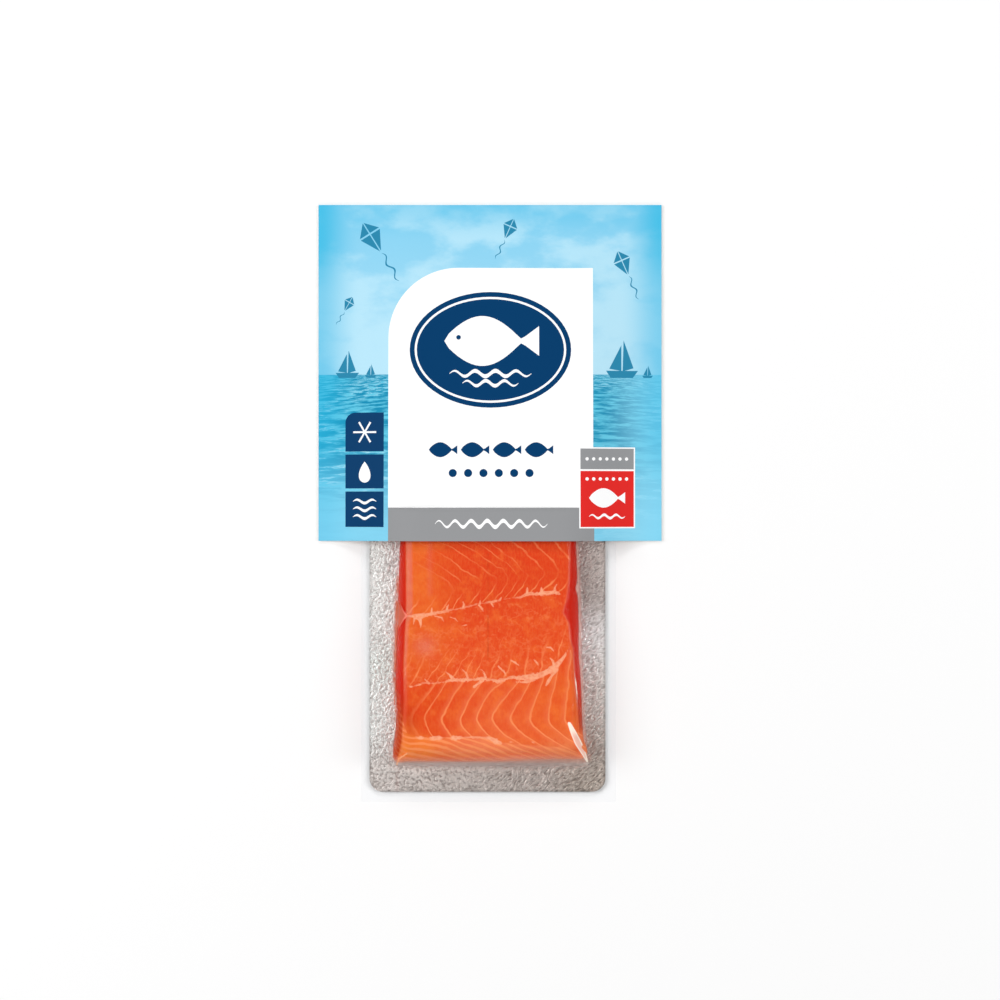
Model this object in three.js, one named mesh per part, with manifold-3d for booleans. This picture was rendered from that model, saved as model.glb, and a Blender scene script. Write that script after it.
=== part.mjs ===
// A piece of trout fillet on a foil board, sealed in a clear vacuum pouch, with a folded card sleeve over its
// upper end. Units are millimetres. The pack lies on its back: +X runs across it, +Y runs up to the sleeve's fold
// and +Z is up. The origin is under the middle of the pack, on the surface it lies on.
import * as THREE from "three";
import { mergeVertices } from "three/addons/utils/BufferGeometryUtils.js";
import Module from "manifold-3d";

// Driving dimensions of the whole pack
const PACK_LENGTH = 278.6; // from the sleeve's fold to the pouch's lower edge
const SLEEVE_WIDTH = 160;
const SLEEVE_LENGTH = 156.7;
const CARD = 0.5; // thickness of the sleeve's card

// The pouch, its board and the fillet
const POUCH_WIDTH = 119;
const POUCH_LENGTH = 220;
const POUCH_CENTRE_X = -0.7;
const POUCH_CORNER = 0.8;
const SEAL = 0.4; // thickness of the sealed film outside the board
const FILM = 0.15;
const FILM_TO_SEAL = 0.9; // how far out from the board's edge the film reaches the seal
const SAG_START = 10; // how far below the sleeve's mouth the seal starts to sag to the table
const SAG_END = 2; // and how far below it the seal is up on the sleeve's back again
const BOARD_WIDTH = 110;
const BOARD_LENGTH = 210;
const BOARD_CENTRE_X = -1.2;
const BOARD_CORNER = 6.3;
const BOARD_THICKNESS = 0.8;
const BOARD_TO_POUCH_END = 4.9;
const BOARD_EDGE_INSET = 0.6; // the film rounds the board's upper edge over this width
const BOARD_EDGE_DROP = 0.2; // and over this height
const BOARD_UNDERSIDE_INSET = 1;
const FILLET_LENGTH = 145.5;
const FILLET_TO_BOARD_END = 12;
const FILLET_CENTRE_X = -0.9;
const FILLET_CORNER = 4.5;
const FILLET_HALF_WIDTH = 43; // in the middle of the part that shows
const FILLET_TAPER = 0.035; // half width gained for each millimetre towards the lower end
const FILLET_THICKNESS = 17.6; // at the thick back edge of the fish
const BELLY_THICKNESS = 9.5; // at the thin belly edge, which lies inside the sleeve
const THINNING_START = 0.25; // share of the fillet's length, from its back edge, where it starts to thin
const THINNING_END = 1.02;
const CROWN = 0.7; // how far the middle of the fillet stands above its shoulders

// The run over which each side of the fillet rises from the board to its top
const SIDE_RUN = 6.5;
const BACK_EDGE_RUN = 14;
const BELLY_EDGE_RUN = 10;
const SIDE_ROUNDNESS = 2.3; // exponent of the rounded side: 2 is an ellipse, more is squarer
const FILM_SKIRT = 1.8; // how far out the film reaches the board from the fillet's foot

// The sleeve's front, which arches over the fillet and comes down flat to the fold
const MOUTH_RISE = 17; // height of the arch inside its mouth
const ARCH_FLAT = 32; // half width of the arch's flat crown
const ARCH_FOOT = 76; // where the arch meets the glued margin
const POCKET_HALF_WIDTH = 74;
const POCKET_END = 4; // from the end of the pocket to the fold
const LEAST_POCKET = 0.1;
const POCKET_OUT = 5; // how far the shape that cuts the pocket stands out of the mouth
const UNDER_POUCH = 0.3; // gap between the sleeve's back and the pouch

// Where the named lines of the pack lie
const FOLD_Y = PACK_LENGTH / 2;
const MOUTH_Y = FOLD_Y - SLEEVE_LENGTH;
const POUCH_LOW_Y = -PACK_LENGTH / 2;
const POUCH_HIGH_Y = POUCH_LOW_Y + POUCH_LENGTH;
const BOARD_LOW_Y = POUCH_LOW_Y + BOARD_TO_POUCH_END;
const BOARD_HIGH_Y = BOARD_LOW_Y + BOARD_LENGTH;
const FILLET_LOW_Y = BOARD_LOW_Y + FILLET_TO_BOARD_END;
const FILLET_HIGH_Y = FILLET_LOW_Y + FILLET_LENGTH;
const PACK_Z = CARD + UNDER_POUCH; // underside of the pouch
const BOARD_TOP = PACK_Z + FILM + BOARD_THICKNESS;
const FILM_ON_BOARD = BOARD_TOP + FILM;

// Where a side is drawn in, at its foot and at its shoulder. The second one is a corner that is pressed out.
const DENTS = [
  { side: 1, y: -50.3, foot: 0, shoulder: 2.8, spread: 5 },
  { side: 1, y: -122, foot: -2.2, shoulder: -2, spread: 9 },
];
const DENT_START = 0.55; // share of the half width where the dents begin, which are full at the side itself

// How finely the surfaces are cut
const SAME_PLACE = 1e-3; // points nearer to each other than this are one point
const LONG_STEPS = 30;
const SHORT_STEPS = 12;
const CORNER_STEPS = 5;
const ARCH_STEPS = 11;
const ARCH_ROWS = 6;
const SIDE_RINGS = [0.03, 0.1, 0.22, 0.38, 0.56, 0.76, 1];
const TOP_RINGS = [0.8, 0.6, 0.4, 0.2, 0];

const wasm = await Module();
wasm.setup();

const smooth = (low, high, value) => THREE.MathUtils.smoothstep(value, low, high);

// A rounded rectangle as a ring of points, counter-clockwise. Every ring has the same number of points in the
// same places round it, so that any two rings can be joined by a band.
function ring({ left, right, low, high, radius }) {
  const r = Math.min(radius, (right - left) / 2, (high - low) / 2);
  const corners = [
    [right - r, low + r, -Math.PI / 2],
    [right - r, high - r, 0],
    [left + r, high - r, Math.PI / 2],
    [left + r, low + r, Math.PI],
  ];
  const steps = [LONG_STEPS, SHORT_STEPS, LONG_STEPS, SHORT_STEPS];
  const points = [];
  corners.forEach(([x, y, start], side) => {
    for (let i = 0; i < CORNER_STEPS; i++) {
      const angle = start + (i / CORNER_STEPS) * (Math.PI / 2);
      points.push([x + r * Math.cos(angle), y + r * Math.sin(angle)]);
    }
    const end = start + Math.PI / 2;
    const from = [x + r * Math.cos(end), y + r * Math.sin(end)];
    const [nextX, nextY] = corners[(side + 1) % 4];
    const to = [nextX + r * Math.cos(end), nextY + r * Math.sin(end)];
    for (let i = 0; i < steps[side]; i++) {
      const t = i / steps[side];
      points.push([from[0] + (to[0] - from[0]) * t, from[1] + (to[1] - from[1]) * t]);
    }
  });
  return points;
}

// The fillet's own thickness at a place along the pack: thick at the back edge, thin at the belly edge.
function filletThickness(y) {
  const along = (y - FILLET_LOW_Y) / FILLET_LENGTH;
  const thinning = smooth(THINNING_START, THINNING_END, along);
  return FILLET_THICKNESS + (BELLY_THICKNESS - FILLET_THICKNESS) * thinning;
}

// It narrows evenly from its lower end to the sleeve's mouth, and keeps that width inside the sleeve.
function filletHalfWidth(y) {
  const middle = (FILLET_LOW_Y + MOUTH_Y) / 2;
  return FILLET_HALF_WIDTH + FILLET_TAPER * (middle - Math.min(y, MOUTH_Y));
}

// A ring round the fillet. Rise 0 is its foot on the board and rise 1 its shoulder. Reach 1 is the shoulder and
// reach 0 the line along the middle of the top. Skirt moves the foot out, down on the board.
function filletRing(rise, reach, skirt = 0) {
  const shoulder = FILLET_HALF_WIDTH - SIDE_RUN;
  const inset = (1 - reach) * shoulder;
  const halfWidth = FILLET_HALF_WIDTH + skirt - SIDE_RUN * rise - inset;
  const rect = {
    left: -halfWidth,
    right: halfWidth,
    low: FILLET_LOW_Y - skirt + BACK_EDGE_RUN * rise + inset,
    high: FILLET_HIGH_Y + skirt - BELLY_EDGE_RUN * rise - inset,
    radius: FILLET_CORNER + skirt,
  };
  const height = (1 - (1 - rise) ** SIDE_ROUNDNESS) ** (1 / SIDE_ROUNDNESS);
  return ring(rect).map(([x, y]) => {
    const side = Math.sign(x);
    const dent = DENTS.filter((d) => d.side === side)
      .map((d) => (d.foot + (d.shoulder - d.foot) * rise) * Math.exp(-(((y - d.y) / d.spread) ** 2)))
      .reduce((a, b) => a + b, 0);
    const drawnIn = side * dent * smooth(DENT_START, 1, Math.abs(x) / FILLET_HALF_WIDTH);
    const stretch = filletHalfWidth(y) / FILLET_HALF_WIDTH;
    const crown = CROWN * (1 - Math.min(1, Math.abs(x) / shoulder) ** 2);
    const z = FILM_ON_BOARD + (filletThickness(y) + crown) * height;
    return [FILLET_CENTRE_X + x * stretch - drawnIn, y, skirt > 0 ? FILM_ON_BOARD : z];
  });
}

const boardRect = (grow) => ({
  left: BOARD_CENTRE_X - BOARD_WIDTH / 2 - grow,
  right: BOARD_CENTRE_X + BOARD_WIDTH / 2 + grow,
  low: BOARD_LOW_Y - grow,
  high: BOARD_HIGH_Y + grow,
  radius: BOARD_CORNER + grow,
});
const pouchRect = {
  left: POUCH_CENTRE_X - POUCH_WIDTH / 2,
  right: POUCH_CENTRE_X + POUCH_WIDTH / 2,
  low: POUCH_LOW_Y,
  high: POUCH_HIGH_Y,
  radius: POUCH_CORNER,
};

// Outside the sleeve the sealed film sags from the board to the surface that the pack lies on.
const filmSag = (y) => PACK_Z * smooth(MOUTH_Y - SAG_START, MOUTH_Y - SAG_END, y);

const lifted = (points, height) =>
  points.map(([x, y]) => [x, y, typeof height === "function" ? height(y) : height]);

// Bands of triangles between rings that follow each other. A fan closes the first ring, and the last ring is a
// line that the bands of both sides share.
function loft(rings, middleLow) {
  const count = rings[0].length;
  const low = rings.length * count;
  const index = [];
  for (let i = 0; i < count; i++) {
    const next = (i + 1) % count;
    for (let k = 0; k + 1 < rings.length; k++) {
      const [a, b] = [k * count + i, k * count + next];
      index.push(a, b, b + count, a, b + count, a + count);
    }
    index.push(next, i, low);
  }
  return joined([...rings.flat(2), ...middleLow], index);
}

// A mesh whose points at one place are one point, without the triangles that this leaves empty.
function joined(position, index) {
  const loose = new THREE.BufferGeometry()
    .setAttribute("position", new THREE.Float32BufferAttribute(position, 3))
    .setIndex(index);
  const geometry = mergeVertices(loose, SAME_PLACE);
  const all = Array.from(geometry.index.array);
  const kept = [];
  for (let i = 0; i < all.length; i += 3) {
    const [a, b, c] = all.slice(i, i + 3);
    if (a !== b && b !== c && c !== a) kept.push(a, b, c);
  }
  return geometry.setIndex(kept);
}

// The sealed pouch with the board and the fillet in it, as one solid that has the film's outer form.
function vacuumPack() {
  const rings = [
    lifted(ring(boardRect(-BOARD_UNDERSIDE_INSET)), PACK_Z),
    lifted(ring(pouchRect), filmSag),
    lifted(ring(pouchRect), (y) => filmSag(y) + SEAL),
    lifted(ring(boardRect(FILM_TO_SEAL)), PACK_Z + SEAL),
    lifted(ring(boardRect(0)), FILM_ON_BOARD - BOARD_EDGE_DROP),
    lifted(ring(boardRect(-BOARD_EDGE_INSET)), FILM_ON_BOARD),
    filletRing(0, 1, FILM_SKIRT),
    ...SIDE_RINGS.map((rise) => filletRing(rise, 1)),
    ...TOP_RINGS.map((reach) => filletRing(1, reach)),
  ];
  return loft(rings, [BOARD_CENTRE_X, (BOARD_LOW_Y + BOARD_HIGH_Y) / 2, PACK_Z]);
}

// How high the sleeve's front stands above its back: an arch at the mouth that comes down in straight lines to
// the fold.
function archHeight(x, y) {
  const across = THREE.MathUtils.clamp((Math.abs(x) - ARCH_FLAT) / (ARCH_FOOT - ARCH_FLAT), 0, 1);
  const along = Math.max(0, (FOLD_Y - y) / SLEEVE_LENGTH);
  return (MOUTH_RISE * along * (1 + Math.cos(Math.PI * across))) / 2;
}

// The front's slope across the pack, by which its underside is set down so that the card keeps its thickness.
function archSlope(x, y) {
  const step = 0.01;
  return (archHeight(x + step, y) - archHeight(x - step, y)) / (2 * step);
}

const sleeveTop = (x, y) => 2 * CARD + archHeight(x, y);
const pocketTop = (x, y) =>
  Math.max(CARD + LEAST_POCKET, sleeveTop(x, y) - CARD * Math.hypot(1, archSlope(x, y)));

const spread = (low, high, steps) =>
  Array.from({ length: steps + 1 }, (_, i) => low + ((high - low) * i) / steps);

// A closed solid between a flat floor and a height given over a grid.
function slab(xs, ys, floor, height) {
  const bottom = [];
  const top = [];
  for (const y of ys) {
    for (const x of xs) {
      bottom.push(x, y, floor);
      top.push(x, y, height(x, y));
    }
  }
  const [columns, rows] = [xs.length, ys.length];
  const index = [];
  const at = (layer, i, j) => layer * columns * rows + j * columns + i;
  const quad = (a, b, c, d) => index.push(a, b, c, a, c, d);
  for (let j = 0; j + 1 < rows; j++) {
    for (let i = 0; i + 1 < columns; i++) {
      quad(at(1, i, j), at(1, i + 1, j), at(1, i + 1, j + 1), at(1, i, j + 1));
      quad(at(0, i, j), at(0, i, j + 1), at(0, i + 1, j + 1), at(0, i + 1, j));
    }
  }
  for (let i = 0; i + 1 < columns; i++) {
    quad(at(0, i, 0), at(0, i + 1, 0), at(1, i + 1, 0), at(1, i, 0));
    quad(at(0, i + 1, rows - 1), at(0, i, rows - 1), at(1, i, rows - 1), at(1, i + 1, rows - 1));
  }
  for (let j = 0; j + 1 < rows; j++) {
    quad(at(0, 0, j + 1), at(0, 0, j), at(1, 0, j), at(1, 0, j + 1));
    quad(at(0, columns - 1, j), at(0, columns - 1, j + 1), at(1, columns - 1, j + 1), at(1, columns - 1, j));
  }
  return joined([...bottom, ...top], index);
}

function solid(merged) {
  const mesh = new wasm.Mesh({
    numProp: 3,
    vertProperties: new Float32Array(merged.attributes.position.array),
    triVerts: new Uint32Array(merged.index.array),
  });
  return new wasm.Manifold(mesh);
}

function geometryOf(manifold) {
  const mesh = manifold.getMesh();
  return new THREE.BufferGeometry()
    .setAttribute("position", new THREE.BufferAttribute(mesh.vertProperties, 3))
    .setIndex(new THREE.BufferAttribute(mesh.triVerts, 1));
}

// One folded card: a flat back, an arched front, glued side margins, a closed fold and an open mouth.
function cardSleeve() {
  const side = (foot) => spread(ARCH_FLAT, foot, ARCH_STEPS);
  const across = (foot) => [...side(foot).map((x) => -x).reverse(), ...side(foot)];
  const half = SLEEVE_WIDTH / 2;
  const outer = slab([-half, ...across(ARCH_FOOT), half], spread(MOUTH_Y, FOLD_Y, ARCH_ROWS), 0, sleeveTop);
  const pocketYs = spread(MOUTH_Y - POCKET_OUT, FOLD_Y - POCKET_END, ARCH_ROWS);
  const pocket = slab(across(POCKET_HALF_WIDTH), pocketYs, CARD, pocketTop);
  return geometryOf(solid(outer).subtract(solid(pocket)));
}

function part(name, geometry, colour, roughness) {
  const material = new THREE.MeshStandardMaterial({ color: colour, roughness, metalness: 0 });
  const mesh = new THREE.Mesh(geometry, material);
  mesh.name = name;
  return mesh;
}

const pack = new THREE.Group();
pack.add(part("vacuum_pack", vacuumPack(), 0xe85a2c, 0.2));
pack.add(part("card_sleeve", cardSleeve(), 0x9fd9f0, 0.45));

export default pack;
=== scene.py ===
# %% [markdown]
# # A piece of trout fillet in its vacuum pouch and card sleeve
# The real pack has four things in it: a thick piece of orange fish, a board with silver embossed foil on it,
# a clear film that the vacuum draws tight over both, and a printed card that is folded over the upper end
# and glued at its sides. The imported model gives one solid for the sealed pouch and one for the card. Here
# the first becomes fish, board and film, and the second a printed front and a plain back. All of it lies on
# its back, and +Y runs up to the fold. Sizes are in millimetres until a mesh is made, because that is how a
# pack is drawn.

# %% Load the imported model
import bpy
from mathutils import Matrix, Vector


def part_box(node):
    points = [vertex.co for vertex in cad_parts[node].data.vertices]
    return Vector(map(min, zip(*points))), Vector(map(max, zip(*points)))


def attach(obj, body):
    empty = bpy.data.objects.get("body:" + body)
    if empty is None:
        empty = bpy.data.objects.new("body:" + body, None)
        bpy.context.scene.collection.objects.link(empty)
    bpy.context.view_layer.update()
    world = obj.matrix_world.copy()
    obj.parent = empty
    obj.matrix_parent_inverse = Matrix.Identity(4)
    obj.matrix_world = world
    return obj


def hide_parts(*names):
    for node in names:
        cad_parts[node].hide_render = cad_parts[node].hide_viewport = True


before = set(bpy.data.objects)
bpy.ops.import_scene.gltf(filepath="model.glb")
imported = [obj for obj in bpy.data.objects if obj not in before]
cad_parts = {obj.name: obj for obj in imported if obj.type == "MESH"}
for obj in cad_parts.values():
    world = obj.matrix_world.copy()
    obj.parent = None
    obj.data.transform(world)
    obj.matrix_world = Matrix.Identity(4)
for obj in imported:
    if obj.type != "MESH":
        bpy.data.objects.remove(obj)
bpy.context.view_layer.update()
import math
import bmesh
import bpy
import numpy as np
from mathutils import Vector, geometry

MM = 0.001
pouch_low, pouch_high = (np.array(corner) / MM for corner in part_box("vacuum_pack"))
sleeve_low, sleeve_high = (np.array(corner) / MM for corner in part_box("card_sleeve"))
print("pouch", pouch_low.round(1), pouch_high.round(1))
print("sleeve", sleeve_low.round(1), sleeve_high.round(1))

# %% [markdown]
# ## From numbers to meshes
# Each new piece is a surface worked out as whole arrays of points. A grid of points becomes quads between
# its rows, and points that fall on one place, as at the end of a ring that closes to a line, are merged
# afterwards, so that the mesh is closed. Blender could also carry a profile along a curve, but then the
# seams in the fish would have no handle on each point.

# %% Mesh helpers
def quads(rows, columns, around):
    """Corners of the quads between each row of points and the next; around also joins the last column to
    the first."""
    i = np.arange(rows - 1)[:, None] * columns
    j = np.arange(columns if around else columns - 1)[None, :]
    following = (j + 1) % columns
    return np.stack([i + j, i + following, i + columns + following, i + columns + j], -1).reshape(-1, 4)


def piece(name, points, faces, merge=0.0, sharp=50):
    """Make a mesh object from points in millimetres, merge those that coincide, and keep edges over sharp
    degrees."""
    mesh = bpy.data.meshes.new(name)
    mesh.from_pydata((np.asarray(points, float).reshape(-1, 3) * MM).tolist(), [], [list(f) for f in faces])
    if merge:
        work = bmesh.new()
        work.from_mesh(mesh)
        bmesh.ops.remove_doubles(work, verts=work.verts, dist=merge * MM)
        bmesh.ops.dissolve_degenerate(work, edges=work.edges, dist=merge * MM)
        work.to_mesh(mesh)
        work.free()
    mesh.shade_smooth()
    mesh.set_sharp_from_angle(angle=math.radians(sharp))
    made = bpy.data.objects.new(name, mesh)
    bpy.context.scene.collection.objects.link(made)
    print(name, len(mesh.vertices), "points", len(mesh.polygons), "faces")
    return made


# %% Numbers on a mesh's points
def places(mesh):
    """Points of a mesh in millimetres, as three arrays."""
    flat = np.empty(len(mesh.vertices) * 3, np.float32)
    mesh.vertices.foreach_get("co", flat)
    return (flat.reshape(-1, 3) / MM).T


def note(mesh, name, *columns):
    """Store three numbers for each point under a name that a material can read."""
    stored = mesh.attributes.new(name, "FLOAT_VECTOR", "POINT")
    stored.data.foreach_set("vector", np.stack(np.broadcast_arrays(*columns), -1).astype(np.float32).ravel())


# %% Smooth steps and random heights
def eased(low, high, value):
    """0 below low, 1 above high, and a smooth S between."""
    t = np.clip((value - low) / (high - low), 0, 1)
    return t * t * (3 - 2 * t)


LATTICE = 256


def rough_field(x, y, cell, seed):
    """Random heights from 0 to 1 on a square lattice of that cell size, joined by an eased blend."""
    lattice = np.random.default_rng(seed).random((LATTICE, LATTICE))
    i, j = np.floor(x / cell).astype(int), np.floor(y / cell).astype(int)
    s, t = x / cell - i, y / cell - j
    s, t = s * s * (3 - 2 * s), t * t * (3 - 2 * t)
    i, j, after_i, after_j = i % LATTICE, j % LATTICE, (i + 1) % LATTICE, (j + 1) % LATTICE
    near = lattice[i, j] * (1 - s) + lattice[after_i, j] * s
    far = lattice[i, after_j] * (1 - s) + lattice[after_i, after_j] * s
    return near * (1 - t) + far * t


print("an eased step a quarter of the way up:", eased(0, 1, 0.25))

# %% [markdown]
# ## The rounded ring
# Board, pouch and fillet are all rounded rectangles seen from above. One walk round such a rectangle serves
# for all: the corner's radius turns through a right angle while the core of the rectangle stands still, then
# the core runs along a side while the radius points one way. Every ring has as many points, so any two can
# be joined by quads. Most of a long side's points go to the part that the sleeve leaves open, where the
# seams of the fish need them.

# %% Walk round a rounded rectangle
ARC_STEPS, SIDE_STEPS, LOW_STEPS, HIGH_STEPS = 9, 236, 172, 40
SHOWN_STEPS, SHOWN_SHARE = 212, 0.74
KNOTS = np.cumsum([0, ARC_STEPS, SIDE_STEPS, ARC_STEPS, HIGH_STEPS, ARC_STEPS, SIDE_STEPS, ARC_STEPS,
                   LOW_STEPS])
AROUND = KNOTS[-1]
step = np.arange(AROUND)
turn = np.radians(np.interp(step, KNOTS, [-90, 0, 0, 90, 90, 180, 180, 270, 270]))
to_right = np.interp(step, KNOTS, [1, 1, 1, 1, 0, 0, 0, 0, 1])
climb = np.interp(step, KNOTS, [0, 0, SIDE_STEPS, SIDE_STEPS, SIDE_STEPS, SIDE_STEPS, 0, 0, 0])
to_high = np.interp(climb, [0, SHOWN_STEPS, SIDE_STEPS], [0, SHOWN_SHARE, 1])
print("points round a ring:", AROUND)


def ring(left, right, low, high, radius):
    """The core's corner, moved along the sides by the two weights, plus the radius turned to its angle."""
    r = np.minimum(radius, np.minimum(right - left, high - low) / 2)
    x = (left + r) * (1 - to_right) + (right - r) * to_right + r * np.cos(turn)
    y = (low + r) * (1 - to_high) + (high - r) * to_high + r * np.sin(turn)
    return x, y


# %% [markdown]
# ## The pack's sizes
# These are the pack's own measures, as the solids have them. The board and the fillet are set out from the
# pouch's lower edge, and heights start from the back of the pouch, which the sleeve's back lifts by its
# thickness.

# %% Sizes of the pack
CARD = 0.5
BACK_OF_POUCH = CARD + 0.3
FILM = 0.15
SEAL = 0.4
BOARD_WIDTH, BOARD_LENGTH, BOARD_CORNER, BOARD_THICKNESS = 110, 210, 6.3, 0.8
BOARD_X = -1.2
BOARD_LOW = pouch_low[1] + 4.9
BOARD_TOP = BACK_OF_POUCH + FILM + BOARD_THICKNESS
FILM_ON_BOARD = BOARD_TOP + FILM
MOUTH, FOLD = sleeve_low[1], sleeve_high[1]

FISH_X = -0.9
FISH_LOW, FISH_LENGTH = BOARD_LOW + 12, 145.5
FISH_HIGH = FISH_LOW + FISH_LENGTH
FISH_MIDDLE = (FISH_LOW + MOUTH) / 2
FISH_CORNER = 4.5
FISH_HALF = 43
FISH_TAPER = 0.035
FISH_THICK, FISH_THIN, CROWN = 17.6, 9.5, 0.7
SIDE_RUN, BACK_RUN, BELLY_RUN = 6.5, 14, 10
ROUNDNESS = 2.3
# Soft dents and sharp pinches of a side, right 1 or left -1: y, depth at foot and at shoulder, and spread.
DENTS = [(1, -50.3, 0, 2.8, 5), (1, -122, -2.2, -2, 9), (1, -69, 0.55, 0.55, 9)]
PINCHES = [(-1, -51.9, 3.1, 0.4, 6.8), (1, -39.4, 0.8, 0, 5.5)]
print("board top", BOARD_TOP, "fish from", round(FISH_LOW, 1), "to", round(FISH_HIGH, 1))

# %% Ring round the fillet
def fish_thickness(y):
    """Thick at the fish's back, which is the lower end, and eased down to the thin belly inside the
    sleeve."""
    return FISH_THICK + (FISH_THIN - FISH_THICK) * eased(0.25, 1.02, (y - FISH_LOW) / FISH_LENGTH)


def pinched_in(y, at, spread):
    """Share of a pinch's depth at y: a V whose two flanks bow outwards."""
    return np.maximum(1 - np.abs(y - at) / spread, 0) ** 1.5


def stand_off(y):
    """How far the film stands off the flesh in the lower part of the left side."""
    return eased(-78, -98, y) - 0.85 * eased(-103, -115, y)


def end_gap(x):
    """How far the flesh's lower end stands back from the film's foot, more to the right."""
    return 2.0 + 1.1 * eased(-4, 34, x) - 1.2 * eased(-36, -43, x)


def fish_ring(rise, reach, swell=0.0, pinched=False):
    """Ring round the fillet. Rise goes from foot to shoulder, reach from the shoulder in to the middle
    line, and swell moves it outwards. The side's height follows a superellipse. Soft dents draw in both
    flesh and film, and pinches only the flesh, which also ends short of the film."""
    shoulder = FISH_HALF - SIDE_RUN
    inset = (1 - reach) * shoulder
    half = FISH_HALF - SIDE_RUN * rise - inset
    low = FISH_LOW + BACK_RUN * rise + inset
    high = FISH_HIGH - BELLY_RUN * rise - inset
    x, y = ring(-half - swell, half + swell, low - swell, high + swell, FISH_CORNER + swell)
    dent = sum((np.sign(x) == side) * (foot + (top - foot) * rise) * np.exp(-(((y - at) / spread) ** 2))
               for side, at, foot, top, spread in DENTS)
    if pinched:
        dent = dent + sum((np.sign(x) == side) * (foot + (top - foot) * rise) * pinched_in(y, at, spread)
                          for side, at, foot, top, spread in PINCHES)
        dent = dent + (x < 0) * (1 - 0.7 * rise) * stand_off(y)
        y = y + (1 - rise) * end_gap(x) * eased(-108, -118, y)
    drawn_in = np.sign(x) * dent * eased(0.55, 1, np.abs(x) / FISH_HALF)
    stretch = 1 + FISH_TAPER * (FISH_MIDDLE - np.minimum(y, MOUTH)) / FISH_HALF
    height = (1 - (1 - rise) ** ROUNDNESS) ** (1 / ROUNDNESS)
    crown = CROWN * (1 - np.minimum(1, np.abs(x) / shoulder) ** 2)
    z = BOARD_TOP + (fish_thickness(y) + crown) * height
    return FISH_X + x * stretch - drawn_in, y, z


print("thickness of the fish:", [round(float(fish_thickness(y)), 1) for y in (FISH_LOW, MOUTH, FISH_HIGH)])

# %% [markdown]
# ## The fillet
# The cut side of a trout shows its muscle as bands between thin pale walls of tissue. Here the fish's length
# runs across the pack, so two fat lines cross it from left to right, one above and one below the thick
# middle muscle, and a third marks where the back slants down. Between them the walls bend like a stretched
# W: they rise to the right and fold back above the upper line, and they make arrowheads that point left
# below the lower one. Each family of walls is a phase, a number that grows by one from wall to wall, and
# each fat line is a height over the width. Both are smooth, so they are worked out for each point of the
# mesh, and the material turns them into crisp lines.

# %% Fat lines of the fillet
# A line gives its y at some x, and a width gives half its thickness there. Below 0 the line is missing.
UPPER_LINE = np.array([(-41, -52.2), (-33, -51.8), (-25.7, -50.8), (-16, -49), (-5.5, -46.4), (8.3, -43.8),
                       (14.3, -43.2), (17.5, -41.8), (30, -41.1), (34, -41.9)])
UPPER_WIDTH = np.array([(-41, -0.3), (-36.5, 0), (-34, 0.8), (-30, 0.75), (-25.6, 0.6), (-19.5, 0.45),
                        (-17, 0.1), (-14, 0.3), (-6, 0.2), (-3, -0.05), (0, 0.45), (3, 0.5), (5, 0),
                        (11, -0.05), (13, 0.3), (17.5, 0.65), (20.5, 0.5), (23.5, 0.9), (30, 0.75),
                        (32.3, 0.45), (33.5, -0.5)])
LOWER_LINE = np.array([(-37, -84.9), (-31.7, -83), (-22, -82.4), (-17, -81.1), (-12, -81.4), (-3.6, -80.8),
                       (3.3, -82), (10.6, -80.1), (17.5, -80.6), (24.4, -78.9), (30, -75.2), (35, -70.1),
                       (40, -64)])
LOWER_WIDTH = np.array([(-37, -0.25), (-35, 0), (-31.7, 0.1), (-28, 0.45), (-25, 0.15), (-20, 0.35),
                        (-17.2, 0.9), (-14.5, 0.45), (-11.5, 0.85), (-8, 0.3), (-4, 0.85), (0, 0.35),
                        (3.3, 0.7), (8, 0.55), (13.8, 0.75), (17.5, 1.45), (21, 1.5), (24, 0.9), (27.2, 1.5),
                        (30, 1.4), (33, 0.7), (35, 0.1), (36, -0.5)])
EDGE_LINE = np.array([(-46, -82), (-42, -88), (-40, -101), (-38, -106.5), (-32, -108.1), (-16, -108),
                      (-6, -107.7), (-0.5, -108.2), (5, -110.4), (32, -112.6), (40, -115), (46, -118)])
EDGE_WIDTH = np.array([(-37, -0.5), (-34, 0), (-32, 1.0), (-30.5, 0.3), (-28.6, -0.2), (-26.2, 1.0),
                       (-23, 0.9), (-21.3, -0.1), (-18.6, -0.1), (-17, 1.05), (-13.8, 0.8), (-12, 0),
                       (-9, 0.45), (-6, 0.3), (-2, 0.3), (-0.5, 0.8), (2.4, 1.3), (5, 0.6), (6.5, -0.3),
                       (12, -0.5)])


def along(table, x):
    """Height or width at x, read between the named points."""
    return np.interp(x, table[:, 0], table[:, 1])


def bent(distance, softness):
    """The distance from a fold line, rounded off near it."""
    return np.sqrt(distance ** 2 + softness ** 2) - softness


print("named points of the fat lines:", len(UPPER_LINE), len(LOWER_LINE), len(EDGE_LINE))

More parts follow.
